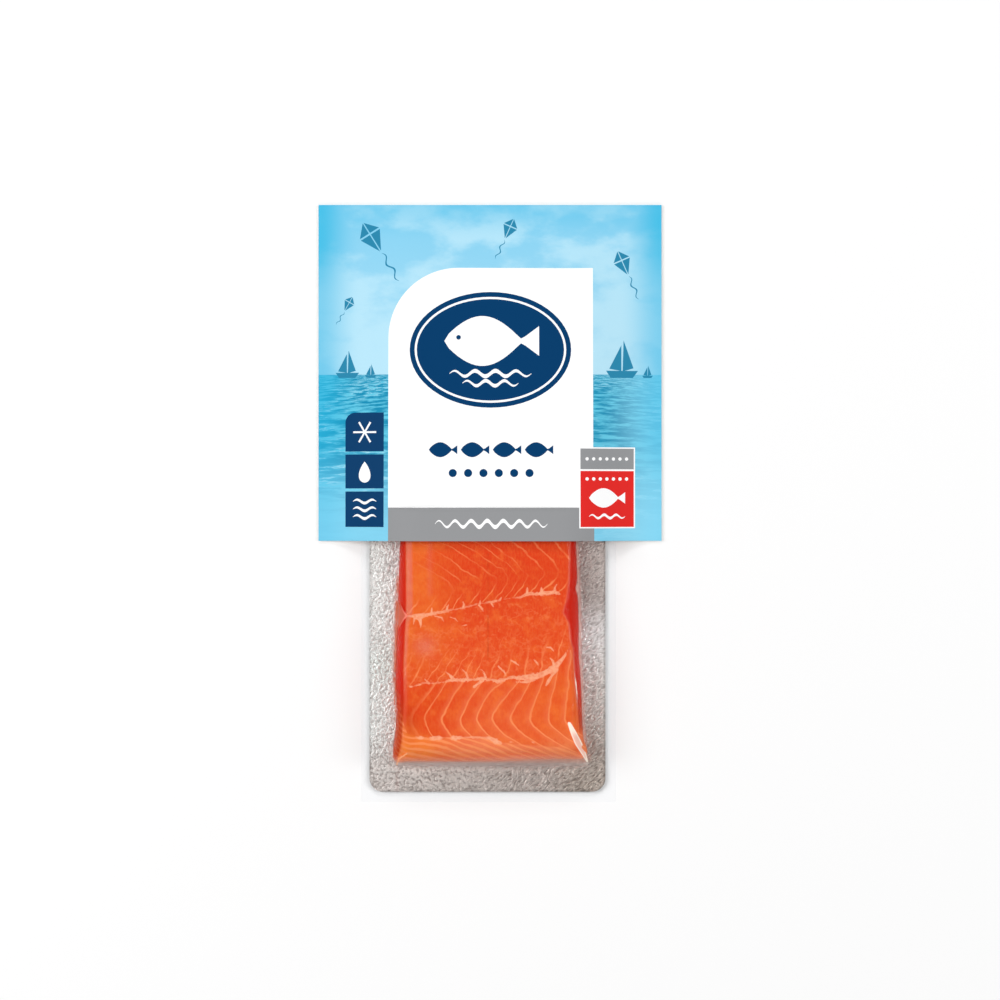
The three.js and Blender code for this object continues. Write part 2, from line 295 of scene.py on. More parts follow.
# %% Spurs of fat
# Short strokes that branch off the fat lines. Each bend has its x, its y and half the stroke's width there.
SPURS = [[(-39.8, -51.9, 0.1), (-36.5, -52, 0.3), (-34.8, -52, 0.75), (-32.8, -52.7, 1.1),
          (-30.4, -51.7, 0.6)], [(-34.8, -52.8, 0.35), (-35.2, -55.6, 0.1)],
         [(-32.4, -53, 0.9), (-31.8, -56.4, 0.25), (-31.9, -57, 0.05)],
         [(-26.9, -50.4, 0.5), (-26.8, -48.4, 0.2)],
         [(-19.9, -49.2, 0.5), (-19.7, -47.6, 0.3), (-19, -46.7, 0.1)],
         [(-12.3, -47.9, 0.5), (-12, -46.4, 0.25), (-12.4, -45.4, 0.1)],
         [(-4.6, -46.3, 0.3), (-4.4, -44.6, 0.1)],
         [(-5.2, -46.8, 0.3), (-3.6, -48.6, 0.25), (-3.2, -49.6, 0.05)],
         [(-25.6, -51.9, 0.1), (-22.3, -52.6, 0.2), (-21.4, -54.4, 0)],
         [(-18.4, -52.4, 0), (-16.2, -53, 0.15), (-14.9, -54.4, 0)], [(-12.8, -56.4, 0), (-10.9, -56, 0.15)],
         [(0.6, -46, 0.3), (1.6, -47.6, 0.1)], [(4.5, -44.6, 0.3), (5.4, -43.2, 0.1)],
         [(17.2, -41.4, 0.6), (17.3, -38.9, 0.15)], [(23.9, -40.9, 0.8), (23.8, -38.7, 0.15)],
         [(29.8, -41, 0.5), (30, -38.9, 0.3), (30.8, -37.4, 0.1)],
         [(-17.4, -80.4, 0.7), (-19, -78.6, 0.3), (-20.4, -77.6, 0.1)],
         [(-10.2, -80.4, 0.4), (-11, -78, 0.25), (-12.6, -76.6, 0.1)],
         [(-2, -80.2, 0.5), (-2.6, -78.2, 0.3), (-4.2, -76, 0.1)],
         [(7.4, -79.2, 0.2), (6.4, -77.2, 0.3), (3.9, -75.1, 0.3)],
         [(9.8, -72.4, 0.2), (11.6, -73.3, 0.35), (13.4, -74.6, 0.1)],
         [(20.4, -72, 0.1), (21.6, -73.4, 0.3), (22.2, -74.4, 0.1)],
         [(29.5, -74.4, 0.6), (29, -72.6, 0.4), (27.9, -71.4, 0.2)],
         [(30.6, -76.5, 0.9), (28.4, -79.6, 0.4), (27, -81.8, 0.65), (25.8, -84, 0.25)],
         [(29.4, -68, 0.15), (28, -66.4, 0.3), (26.2, -66.4, 0.15)],
         [(-3.2, -81.4, 0.7), (-5.4, -83, 0.35), (-7.2, -84.4, 0.55)],
         [(31, -74.5, 1), (34.6, -70.2, 0.5), (35.8, -67.6, 0.1)],
         [(16.8, -80, 1), (22, -79.7, 1), (28, -76.8, 1.2)],
         [(12, -82.3, 0.2), (17, -82.3, 0.45), (21, -81.3, 0.2)], [(-28.3, -82.6, 0.2), (-30, -81, 0.1)],
         [(-36.8, -84.4, 0.3), (-36, -84.5, 0.3)], [(-34, -84, 0.1), (-32, -83.4, 0.3)],
         [(8.4, -109.4, 0.05), (10.6, -110.4, 0.3)], [(18.6, -109.4, 0.05), (20.6, -110.4, 0.3)]]


def from_strokes(x, y, strokes):
    """Distance to the nearest stroke's edge: to its middle line, less the half width that changes evenly
    along it."""
    nearest = np.full(x.shape, 9.0)
    for stroke in strokes:
        for (ax, ay, aw), (bx, by, bw) in zip(stroke, stroke[1:]):
            dx, dy = bx - ax, by - ay
            t = np.clip(((x - ax) * dx + (y - ay) * dy) / (dx ** 2 + dy ** 2), 0, 1)
            away = np.hypot(x - ax - t * dx, y - ay - t * dy) - aw - t * (bw - aw)
            nearest = np.minimum(nearest, away)
    return nearest


print(len(SPURS), "spurs of fat")

# %% Phases of the muscle walls
FOLD_MIDDLE, FOLD_CLIMB = -37, 0.17
UPPER_ENDS = np.array([-54, -46.5, -39.4, -31.9, -24.2, -18.7, -10.6, -3.3, 2, 7, 11, 18.7, 24.6, 31, 38, 45,
                       52, 59, 66])
ARROW_TIP, ARROW_RISE, ARROW_FALL = -99.2, 16.6, 7.8
ARROW_TIPS = np.array([-60, -36.2, -30.7, -22, -13.5, -6.3, 0.9, 9.3, 18.3, 27.3, 34.8, 43, 51])
ARROW_LEAN = np.array([(-26, 11.8), (-17, 8.8), (-8, 9.5), (-1, 10), (6, 11.8), (14, 11.8), (22, 7.1),
                       (29, 2.9), (36, 1.2)])
BRANCH_ENDS = np.array([-53, -45.5, -37.6, -29.7, -24.6, -18.4, -13.3, -8.4, -0.4, 7, 15.7, 23, 30.1, 38, 46])
BRANCH_LEAN = np.array([(-30, 0.7), (-18, 0.85), (-8, 0.6), (0, 0.45), (15, 0.2), (23, 0.1), (30, 0.4)])
EDGE_SPACING = 2.6


def wander(x, y, cell, seed, amount):
    """A slow sideways wander of that many millimetres to each side."""
    return (rough_field(x + 300, y + 300, cell, seed) - 0.5) * 2 * amount


def counted(marks, value):
    """Phase that is whole at each mark and runs evenly between them."""
    return np.interp(value, marks, np.arange(len(marks)))


def upper_bend(x, y):
    """Where a wall through x, y would come out if it ran straight: bends to the right, shallow above,
    steep below."""
    past_fold = y - FOLD_MIDDLE - FOLD_CLIMB * x
    above = (1.35 - 0.6 * eased(-40, 40, x)) * bent(np.maximum(past_fold, 0), 2)
    return x + above + bent(np.maximum(-past_fold, 0), 2)


def upper_phase(x, y):
    """Walls above the upper fat line, set by the places where they meet it."""
    marks = upper_bend(UPPER_ENDS, along(UPPER_LINE, UPPER_ENDS))
    return counted(marks, upper_bend(x, y) + wander(x, y, 9, 3, 1.1) + wander(x, y, 3, 4, 0.5))


def arrow_phase(x, y):
    """Walls between the lower fat line and the edge line: arrowheads that point left, set by their tips."""
    rise = np.maximum(y - ARROW_TIP, 0) / ARROW_RISE
    fall = np.maximum(ARROW_TIP - y, 0) / ARROW_FALL
    offset = along(ARROW_LEAN, x) * rise ** 1.35 + (3.9 + 3 * eased(-20, 10, x)) * fall ** 1.6
    return counted(ARROW_TIPS, x - offset + wander(x, y, 6, 5, 0.6) + wander(x, y, 2.5, 6, 0.2))


def branch_phase(x, y):
    """Walls that rise from the lower fat line to the right, set by the places where they leave it."""
    above = y - along(LOWER_LINE, x)
    return counted(BRANCH_ENDS,
                   x - along(BRANCH_LEAN, x) * above + wander(x, y, 5, 7, 1.0) + wander(x, y, 2.5, 8, 0.4))


def edge_phase(x, y):
    """Close walls on the slanting back edge: their fall to the right steepens near the middle, and they
    climb at the far left."""
    sweep = 0.12 * x + 0.16 * (x + 16 + np.hypot(x + 16, 12)) - 7 * np.exp(-(x + 45.5) / 3)
    return (y + sweep + wander(x, y, 9, 9, 0.9)) / EDGE_SPACING


print("walls above the upper line", len(UPPER_ENDS), "and arrowheads below the lower", len(ARROW_TIPS))

# %% Relief of the fillet
def near_wall(phase, spacing, reach):
    """1 on a wall, falling to 0 at that many millimetres from it."""
    return np.exp(-((np.abs(phase - np.round(phase)) * spacing / reach) ** 2))


LUMP_HEIGHT, WALL_DEPTH, FAT_DEPTH = 0.4, 0.12, 0.18


def fish_relief(x, y):
    """Walls and fat lines lie a little lower than the muscle between them, which swells under the film."""
    upper, lower, edge = (y - along(line, x) for line in (UPPER_LINE, LOWER_LINE, EDGE_LINE))
    walls = near_wall(upper_phase(x, y), 7, 0.8) * eased(0, 2, upper) * 0.4
    walls += near_wall(arrow_phase(x, y), 8, 0.8) * eased(0, 1.5, -lower) * eased(0, 1.5, edge)
    walls += near_wall(edge_phase(x, y), EDGE_SPACING, 0.6) * eased(0, 1.5, -edge) * 0.6
    fat = sum(np.exp(-((d / 1.2) ** 2)) for d in (upper, lower, edge))
    lumps = rough_field(x, y, 11, 21) + 0.35 * rough_field(x, y, 3.1, 22) - 1.35
    return LUMP_HEIGHT * lumps - WALL_DEPTH * walls - FAT_DEPTH * fat


print("relief in the middle of the fish:", fish_relief(np.zeros(1), np.full(1, FISH_MIDDLE)).round(2)[0])

# %% Make the fillet
TOP_RINGS, SIDE_RINGS, UNDER_RINGS = 74, 18, 4
FISH_FOOT = BOARD_TOP + 0.03
quarter = np.linspace(0, math.pi / 2, SIDE_RINGS + 1)
side_rise = 1 - np.cos(quarter) ** (2 / ROUNDNESS)
reach_under = np.linspace(0, 1, UNDER_RINGS, endpoint=False)
reach_top = np.linspace(1, 0, TOP_RINGS + 1)[1:]
rise = np.concatenate([np.full(UNDER_RINGS, 0.02), side_rise, np.ones(TOP_RINGS)])[:, None]
reach = np.concatenate([reach_under, np.ones(SIDE_RINGS + 1), reach_top])[:, None]
under = (np.arange(len(rise)) < UNDER_RINGS)[:, None]

fx, fy, fz = fish_ring(rise, reach, -FILM, pinched=True)
fz = np.where(under, FISH_FOOT, np.maximum(fz, FISH_FOOT))
fz = fz + fish_relief(fx, fy) * eased(0.35, 0.95, rise) * ~under
fillet = piece("fillet", np.stack([fx, fy, fz], -1), quads(len(rise), AROUND, True), merge=0.01, sharp=75)

# %% [markdown]
# The film presses the fillet's sides into shoulders, and past these the flesh shows as a deep red band. Both
# shoulders run as the photograph shows them, straight at the left and drawn in at the upper line's end at
# the right.

# %% Notes for the fillet's material
LEFT_SHOULDER = np.array([(-125, -44), (-119, -43.3), (-114, -41.3), (-110, -40.6), (-92, -39.5),
                          (-75, -39.8), (-64, -39.3), (-55, -38.7), (-45, -38.5), (-18, -38.9)])
RIGHT_SHOULDER = np.array([(-125, 46), (-106.5, 41.5), (-94, 40.5), (-85.8, 39.6), (-77.5, 39.1),
                           (-67.4, 38.5), (-62.8, 37.3), (-55, 36.4), (-50.3, 33.9), (-44.4, 35.5),
                           (-35.2, 36.7), (-18.2, 37.3)])
x, y, z = places(fillet.data)
from_upper, from_lower, from_edge = (y - along(line, x) for line in (UPPER_LINE, LOWER_LINE, EDGE_LINE))
past_left = along(LEFT_SHOULDER, y) - x
past_right = x - along(RIGHT_SHOULDER, y)
red = np.maximum(eased(-0.5, 0.6, past_left) * eased(-124, -118, y),
                 eased(-0.4, 0.4, past_right) * eased(-108, -102, y))
red = np.maximum(red, 0.45 * np.exp(-(((x + 37) / 3.5) ** 2) - ((y + 100) / 8) ** 2))
note(fillet.data, "from_lines", from_upper, from_lower, from_edge)
note(fillet.data, "line_widths", along(UPPER_WIDTH, x), along(LOWER_WIDTH, x), along(EDGE_WIDTH, x))
note(fillet.data, "wall_phases", upper_phase(x, y), arrow_phase(x, y), edge_phase(x, y))
note(fillet.data, "branch_spur_red", branch_phase(x, y), from_strokes(x, y, SPURS), red)
print("red share of the fillet's points", red.mean().round(2))

# %% [markdown]
# ## The foil board
# The board is card with aluminium foil on it, embossed with a fine random crackle, so that it glitters. It
# is a flat grid with its corners bent round: inside each corner square, a point moves from the square onto
# the quarter disc. The coarse crackle is real relief, and the material adds what is finer than the grid. A
# bevelled box would have the same outline, but no points inside it for the relief.

# %% Make the foil board
EMBOSS_STEP = 0.62
COARSE_DEPTH, FINE_DEPTH, RIM_DROP = 0.12, 0.09, 0.1


def foil_relief(x, y):
    """Two sizes of crackle, both drawn out along a slanting line, as the embossing roll leaves them. The
    roll pressed less on the left side, where the crackle is less deep."""
    across, drawn = 0.57 * x - 0.82 * y, 0.82 * x + 0.57 * y
    coarse = rough_field(across + 400, 0.7 * drawn + 400, 2.1, 31) - 0.5
    fine = rough_field(across + 900, 0.75 * drawn + 900, 1.25, 32) - 0.5
    depth = 0.6 + 0.4 * eased(-35, 30, x) + 0.45 * eased(-112, -122, y)
    return depth * (COARSE_DEPTH * coarse + FINE_DEPTH * fine) - RIM_DROP


columns = int(BOARD_WIDTH / EMBOSS_STEP)
rows = int(BOARD_LENGTH / EMBOSS_STEP)
gx, gy = np.meshgrid(np.linspace(-1, 1, columns) * BOARD_WIDTH / 2,
                     np.linspace(-1, 1, rows) * BOARD_LENGTH / 2)
a = np.clip((np.abs(gx) - BOARD_WIDTH / 2) / BOARD_CORNER + 1, 0, 1)
b = np.clip((np.abs(gy) - BOARD_LENGTH / 2) / BOARD_CORNER + 1, 0, 1)
gx = np.sign(gx) * (np.abs(gx) + BOARD_CORNER * (a * np.sqrt(1 - b ** 2 / 2) - a))
gy = np.sign(gy) * (np.abs(gy) + BOARD_CORNER * (b * np.sqrt(1 - a ** 2 / 2) - b))
gx, gy = gx + BOARD_X, gy + BOARD_LOW + BOARD_LENGTH / 2
index = np.arange(rows * columns).reshape(rows, columns)
rim = np.concatenate([index[0, :-1], index[:-1, -1], index[-1, :0:-1], index[:0:-1, 0]])
on_rim = np.zeros(rows * columns, bool)
on_rim[rim] = True
on_rim = on_rim.reshape(rows, columns)
gz = BOARD_TOP + np.where(on_rim, -RIM_DROP, foil_relief(gx, gy))
top = np.stack([gx, gy, gz], -1).reshape(-1, 3)
foot = top[rim] * (1, 1, 0) + (0, 0, BOARD_TOP - BOARD_THICKNESS)
lower = np.arange(len(rim)) + len(top)
walls = np.stack([np.roll(rim, -1), rim, lower, np.roll(lower, -1)], -1)
board_faces = quads(rows, columns, False).tolist() + walls.tolist() + [lower[::-1].tolist()]
foil_board = piece("foil_board", np.concatenate([top, foot]), board_faces)

# %% [markdown]
# ## The film
# The pouch is one closed skin of clear film, drawn tight by the vacuum: flat under the board, pressed
# together round it, flat on the foil, up the sides of the fish and over its top. A cloth simulation could
# draw it tight as well, but rings by the same formulas as the fish lie on it exactly, and they keep to the
# solid's form.

# %% Make the film
def board_ring(grow):
    """Ring round the board, moved out by that many millimetres."""
    return ring(BOARD_X - BOARD_WIDTH / 2 - grow, BOARD_X + BOARD_WIDTH / 2 + grow, BOARD_LOW - grow,
                BOARD_LOW + BOARD_LENGTH + grow, BOARD_CORNER + grow)


def pouch_ring():
    """Ring round the pouch's cut edge, with nearly square corners."""
    return ring(pouch_low[0], pouch_high[0], pouch_low[1], pouch_high[1], 0.8)


def level(xy, z):
    """A ring of points at one height, or at a height for each point."""
    return np.stack([*xy, np.broadcast_to(z, xy[0].shape)], -1)


px, py = pouch_ring()
sag = BACK_OF_POUCH * eased(MOUTH - 10, MOUTH - 2, py)
SKIRT = 1.8
foot_x, foot_y, _ = fish_ring(0, 1, SKIRT)
board_x, board_y = board_ring(-0.6)
film_rings = [level(board_ring(-BOARD_WIDTH / 2 * (1 - t) - 1), BACK_OF_POUCH) for t in np.linspace(0, 1, 5)]
film_rings += [level((px, py), sag), level((px, py), sag + SEAL)]
film_rings += [level(board_ring(0.9), BACK_OF_POUCH + SEAL), level(board_ring(0), FILM_ON_BOARD - 0.2)]
for t in np.linspace(0, 1, 20):
    film_rings.append(level((board_x + (foot_x - board_x) * t, board_y + (foot_y - board_y) * t),
                            FILM_ON_BOARD))


def over_fish(rise, reach):
    """A ring of film that lies on the fish and follows its relief."""
    x, y, z = fish_ring(rise, reach)
    return np.stack([x, y, z + FILM + fish_relief(x, y) * eased(0.35, 0.95, rise)], -1)


SIDE_FILM, TOP_FILM = 26, 58
rises = [1 - math.cos(k * math.pi / 2) ** (2 / ROUNDNESS) for k in np.linspace(0.04, 1, SIDE_FILM)]
film_rings += [over_fish(share, 1) for share in rises]
film_rings += [over_fish(1.0, share) for share in np.linspace(1, 0, TOP_FILM + 1)[1:]]
film_points = np.stack(film_rings)
film_pouch = piece("film_pouch", film_points, quads(len(film_points), AROUND, True), merge=0.005, sharp=80)

# %% [markdown]
# ## The card sleeve
# One card is folded at the top, and its front arches over the fish while its back lies flat. The print is
# cut into the front's mesh: outlines of all its fields and figures go into one triangulation together with
# an even grid that follows the arch, and each triangle takes the ink of the last field that covers its
# middle. Ink drawn by a material alone would need a formula for each figure, and an image isn't used.

# %% Outlines of plain forms
def box_outline(left, right, low, high, radii=(0, 0, 0, 0), steps=14):
    """Rectangle with a radius for each corner: low right, high right, high left, low left."""
    corners = [(right, low, -90), (right, high, 0), (left, high, 90), (left, low, 180)]
    points = []
    for (cx, cy, start), r in zip(corners, radii):
        angle = np.radians(start + np.linspace(0, 90, steps if r else 1))
        sx, sy = (-1 if cx == right else 1), (-1 if cy == high else 1)
        points.append(np.stack([cx + sx * r + r * np.cos(angle), cy + sy * r + r * np.sin(angle)], -1)
                      if r else np.array([[cx, cy]], float))
    return np.concatenate(points)


def oval(cx, cy, rx, ry, steps=64):
    """Points round an ellipse."""
    t = np.linspace(0, 2 * np.pi, steps, endpoint=False)
    return np.stack([cx + rx * np.cos(t), cy + ry * np.sin(t)], -1)


def wave_band(cx, cy, length, swing, thick, waves, steps=48):
    """A sine line with an even thickness that tapers to its ends."""
    t = np.linspace(0, 1, steps)
    x = cx + (t - 0.5) * length
    y = cy + swing * np.sin(t * waves * 2 * np.pi)
    half = thick / 2 * np.sqrt(np.sin(np.pi * np.clip(t, 0.01, 0.99)))
    return np.concatenate([np.stack([x, y - half], -1), np.stack([x, y + half], -1)[::-1]])


# %% Outlines of a fish, a star, a drop, a boat and a kite
def fish_figure(cx, cy, length, steps=22):
    """A plain fish that swims to the left: a body of two bows that cross behind it and open into a tail."""
    t = np.linspace(0, 1, steps)
    x = (t - 0.5) * length
    half = length * (0.24 * np.sin(np.pi * np.minimum(t / 0.8, 1)) ** 0.9 * (t < 0.8) + 0.025)
    half = np.maximum(half, length * 0.75 * np.maximum(t - 0.79, 0))
    half[0] = 0.001
    body = np.concatenate([np.stack([x, -half], -1), np.stack([x, half], -1)[::-1][:-1]])
    return body + (cx, cy)


def star_figure(cx, cy, reach, arms=6, thick=0.16):
    """Arms of one thickness round a centre, as a crystal of snow in its plainest form."""
    k = np.arange(arms * 3)
    angle = (k // 3) * 2 * np.pi / arms
    side = np.array([-1, 1, 0])[k % 3]
    out = np.where(k % 3 == 2, thick * 0.9, 1.0) * reach
    shift = side * thick * reach * 0.5
    turn_on = np.where(k % 3 == 2, np.pi / arms, 0)
    return np.stack([cx + out * np.cos(angle + turn_on) - shift * np.sin(angle),
                     cy + out * np.sin(angle + turn_on) + shift * np.cos(angle)], -1)


def drop_figure(cx, cy, reach, steps=28):
    """A drop: a circle whose upper part is drawn up to a point."""
    t = np.linspace(0, 2 * np.pi, steps, endpoint=False)
    return np.stack([cx + reach * 0.72 * np.sin(t) * np.sin(t / 2) ** 0.9, cy + reach * np.cos(t)], -1)


def boat_figure(cx, cy, size):
    """Hull and two sails of a small boat, as one outline."""
    shape = np.array([(-0.5, 0), (-0.36, -0.22), (0.34, -0.22), (0.5, 0), (0.09, 0), (0.36, 0.08),
                      (0.05, 0.95), (0.02, 0), (-0.02, 0), (-0.02, 0.8), (-0.4, 0.06), (-0.06, 0)])
    return shape * size + (cx, cy)


def turned(outline, degrees, cx, cy):
    """The outline turned about a point."""
    c, s = math.cos(math.radians(degrees)), math.sin(math.radians(degrees))
    return (outline - (cx, cy)) @ np.array([(c, s), (-s, c)]) + (cx, cy)


def kite_figures(cx, cy, size, degrees):
    """Outlines of a kite's four panels, with its crossed spars as gaps between them, and of its waving
    tail."""
    tips = np.array([(0, 0.5), (0.34, 0.12), (0, -0.5), (-0.34, 0.12)])
    panels = [np.array([(0, 0.12), tips[k], tips[(k + 1) % 4]]) for k in range(4)]
    outlines = [(p + 0.14 * (p.mean(0) - p)) * size + (cx, cy) for p in panels]
    tail = turned(wave_band(cx, cy, 0.9 * size, 0.06 * size, 0.05 * size, 2, 40), 90, cx, cy)
    outlines.append(tail - (0, 0.96 * size))
    return [turned(outline, degrees, cx, cy) for outline in outlines]


print("points round a fish:", len(fish_figure(0, 0, 1)))

# %% Layout of the print
HORIZON = 60
SKY, WHITE, GREY, NAVY, RED, DEEP = range(6)
# Each field has an ink and an outline, and a later one covers an earlier one.
fields = [
    (WHITE, box_outline(-47.2, 47.9, -1.9, 109.7, (0, 0, 32.5, 0), 24)),
    (GREY, box_outline(-47.2, 48.3, MOUTH - 1, -1.9)),
    (NAVY, oval(0.2, 71.4, 37.5, 27)),
    (WHITE, oval(0.2, 71.4, 35.2, 24.7)),
    (NAVY, oval(0.2, 71.4, 34.2, 23.7)),
    (WHITE, fish_figure(0.8, 75.5, 44)),
    (NAVY, oval(-14.6, 77.2, 1.1, 1.1, 16)),
    (WHITE, wave_band(0.2, 60.3, 38, 1.3, 1.9, 4)),
    (WHITE, wave_band(0.2, 55.8, 26, 1.2, 1.7, 3)),
]
fields += [(NAVY, fish_figure(-21.7 + 14.8 * k, 24.9, 13.2, 16)) for k in range(4)]
fields += [(NAVY, oval(-17.2 + 7.1 * k, 14.1, 1.9, 1.9, 16)) for k in range(6)]
fields += [(WHITE, wave_band(0.6, -9.4, 52, 1.5, 1.9, 7, 84))]
fields += [
    (NAVY, box_outline(-67.4, -49.3, 24.2, 42.3, (0, 0, 4.7, 0))),
    (NAVY, box_outline(-67.4, -49.3, 7.0, 22.8)),
    (NAVY, box_outline(-67.4, -49.3, -10.9, 5.6)),
    (WHITE, star_figure(-58.3, 33.2, 5.4)),
    (WHITE, drop_figure(-58.3, 14.6, 4.9)),
]
fields += [(WHITE, wave_band(-58.3, -6.2 + 3.6 * k, 11, 0.8, 1.3, 1.5, 24)) for k in range(3)]
fields += [
    (WHITE, box_outline(41.3, 67.6, -11.5, 26.1)),
    (GREY, box_outline(41.9, 67.0, 15.9, 25.5)),
    (RED, box_outline(41.9, 67.0, -10.9, 15.1)),
    (WHITE, fish_figure(54.4, 2.6, 17, 16)),
    (WHITE, wave_band(54.4, -6, 17, 0.8, 1.3, 3, 30)),
]
fields += [(WHITE, oval(45 + 3.1 * k, 20.7, 0.8, 0.8, 10)) for k in range(7)]
fields += [(WHITE, oval(45 + 3.1 * k, 11.4, 0.8, 0.8, 10)) for k in range(7)]
fields += [(DEEP, boat_figure(cx, HORIZON + 0.22 * size - 1.5, size)) for cx, size in
           [(-66.5, 11), (-55.5, 5.5), (61.5, 15), (73.5, 5)]]
for cx, cy, size, degrees in [(-55, 124, 17, 32), (9, 128, 11, -24), (62, 112, 13, 24), (-66, 93, 8, -30)]:
    fields += [(DEEP, outline) for outline in kite_figures(cx, cy, size, degrees)]
print(len(fields), "printed fields and figures")

# %% Shape of the front
ARCH_FLAT, ARCH_FOOT = 32, 76
SLEEVE_LENGTH = FOLD - MOUTH
MOUTH_RISE = sleeve_high[2] - 2 * CARD
FOLD_ROUND = 0.5
rows_at_fold = FOLD - FOLD_ROUND * np.array([1, 0.6, 0.3, 0.1, 0])


def rounded_away(y):
    """How far the fold's quarter circle lies under the card's outer face."""
    near_fold = np.clip(1 - (FOLD - y) / FOLD_ROUND, 0, 1)
    return FOLD_ROUND * (1 - np.sqrt(1 - near_fold ** 2))


def front_height(x, y):
    """A bell-shaped arch at the mouth that comes down in straight lines to the fold, rounded over at the
    fold."""
    across = np.clip((np.abs(x) - ARCH_FLAT) / (ARCH_FOOT - ARCH_FLAT), 0, 1)
    toward_mouth = (FOLD - y) / SLEEVE_LENGTH
    return 2 * CARD + MOUTH_RISE * toward_mouth * 0.5 * (1 + np.cos(np.pi * across)) - rounded_away(y)


def inside(outline, x, y):
    """True where a point lies within an outline: it counts the edges that cross the line to its right."""
    x0, y0 = outline.T
    x1, y1 = np.roll(outline, -1, 0).T
    spans = (y0[None] > y[:, None]) != (y1[None] > y[:, None])
    rise = np.where(y1 == y0, 1e-9, y1 - y0)
    crossing = x0 + (y[:, None] - y0) * (x1 - x0) / rise
    return np.sum(spans & (x[:, None] < crossing), 1) % 2 == 1


print("the front stands", round(float(front_height(0, MOUTH)), 1), "mm high at the middle of the mouth")

# %% Cut the print into the front
GRID = 3.2
half_sleeve = sleeve_high[0]
xs = np.linspace(-half_sleeve, half_sleeve, int(2 * half_sleeve / GRID) + 1)
ys = np.concatenate([np.linspace(MOUTH, FOLD - 2, 46), rows_at_fold])
grid_x, grid_y = (g.ravel() for g in np.meshgrid(xs, ys))
flat = [np.stack([grid_x, grid_y], -1)]
edges, start = [], len(grid_x)
for _, outline in fields:
    shown = np.clip(outline, (-half_sleeve, MOUTH), (half_sleeve, FOLD))
    flat.append(shown)
    n = len(shown)
    edges += [(start + i, start + (i + 1) % n) for i in range(n)]
    start += n
NEAR = 1e-4
made = geometry.delaunay_2d_cdt([tuple(p) for p in np.concatenate(flat)], edges, [], 0, NEAR)
flat_points = np.array([tuple(p) for p in made[0]])
triangles = np.array(made[2])
a, b, c = (flat_points[triangles[:, k]] for k in range(3))
area = (b - a)[:, 0] * (c - a)[:, 1] - (b - a)[:, 1] * (c - a)[:, 0]
triangles = triangles[np.abs(area) > NEAR / 10]
middles = flat_points[triangles].mean(1)
ink = np.full(len(triangles), SKY)
for colour, outline in fields:
    ink[inside(outline, *middles.T)] = colour
print(len(triangles), "triangles in the print")

# %% Make the sleeve's front and back
def card_slab(name, flat_points, triangles, top, bottom, normals):
    """A closed card: one triangulation as its upper face, the same turned over as its lower face, and a
    wall round the edges that only one triangle has. Both faces are shaded with the given normals of the
    card's bend."""
    count = len(flat_points)
    upper = np.column_stack([flat_points, top])
    lower = np.column_stack([flat_points, bottom])
    sides = np.concatenate([triangles[:, [0, 1]], triangles[:, [1, 2]], triangles[:, [2, 0]]])
    seen = {tuple(s) for s in sides}
    rim = np.array([s for s in sides if (s[1], s[0]) not in seen])
    wall = np.stack([rim[:, 1], rim[:, 0], rim[:, 0] + count, rim[:, 1] + count], -1)
    faces = triangles.tolist() + (triangles[:, ::-1] + count).tolist() + wall.tolist()
    slab = piece(name, np.concatenate([upper, lower]), faces, sharp=35)
    shading = np.zeros((len(slab.data.loops), 3))
    corners = triangles.size
    shading[:corners] = normals[triangles.ravel()]
    shading[corners:2 * corners] = -normals[triangles[:, ::-1].ravel()]
    slab.data.normals_split_custom_set(shading.tolist())
    return slab


STRIDE, LEAST_GAP, LEAST_CARD = 0.01, 0.02, 0.01
top = front_height(*flat_points.T)
slope_x = (front_height(flat_points[:, 0] + STRIDE, flat_points[:, 1]) - top) / STRIDE
slope_y = (top - front_height(flat_points[:, 0], flat_points[:, 1] - STRIDE)) / STRIDE
bottom = np.maximum(CARD + LEAST_GAP, top - CARD * np.hypot(1, slope_x))
bottom = np.minimum(bottom, top - LEAST_CARD)
normals = np.stack([-slope_x, -slope_y, np.ones(len(top))], -1)
normals /= np.linalg.norm(normals, axis=1)[:, None]
sleeve_front = card_slab("sleeve_front", flat_points, triangles, top, bottom, normals)

back_y = np.concatenate([np.linspace(MOUTH, FOLD - 2, 20), rows_at_fold])
bx, by = np.meshgrid(np.linspace(-half_sleeve, half_sleeve, 22), back_y)
back_flat = np.stack([bx.ravel(), by.ravel()], -1)
cells = quads(*bx.shape, False)
back_triangles = np.concatenate([cells[:, [0, 1, 2]], cells[:, [0, 2, 3]]])
under_round = rounded_away(back_flat[:, 1]) * 0.96
upright = np.tile((0.0, 0.0, 1.0), (len(back_flat), 1))
sleeve_back = card_slab("sleeve_back", back_flat, back_triangles, np.full(len(back_flat), CARD), under_round,
                        upright)

# %% [markdown]
# ## Materials
# Colours are given as the hex values that a print or a paint chart uses, and turned to linear light by one
# function. One small function adds any node with its settings and its links. A noise is as coarse as the
# real grain, so its scale is worked out from the distance between grains.

# %% Material helpers
def linear(hex_colour):
    """A hex colour as linear red, green, blue and full opacity."""
    srgb = np.array([int(hex_colour[i:i + 2], 16) for i in (1, 3, 5)]) / 255
    light = np.where(srgb <= 0.04045, srgb / 12.92, ((srgb + 0.055) / 1.055) ** 2.4)
    return (*light.tolist(), 1.0)


def blended(spots, x, y):
    """Linear colour at each point: the mean of the spots' colours, each weighted by a bell curve round
    its place. The first spot counts a quarter, so that it fills in between the others."""
    bells = [np.exp(-((x - sx) ** 2 + (y - sy) ** 2) / (2 * spread ** 2)) for _, sx, sy, spread in spots]
    weights = np.stack(bells)
    weights[0] *= 0.25
    tones = np.array([linear(h)[:3] for h, *_ in spots])
    return (weights[:, :, None] * tones[:, None, :]).sum(0) / weights.sum(0)[:, None]


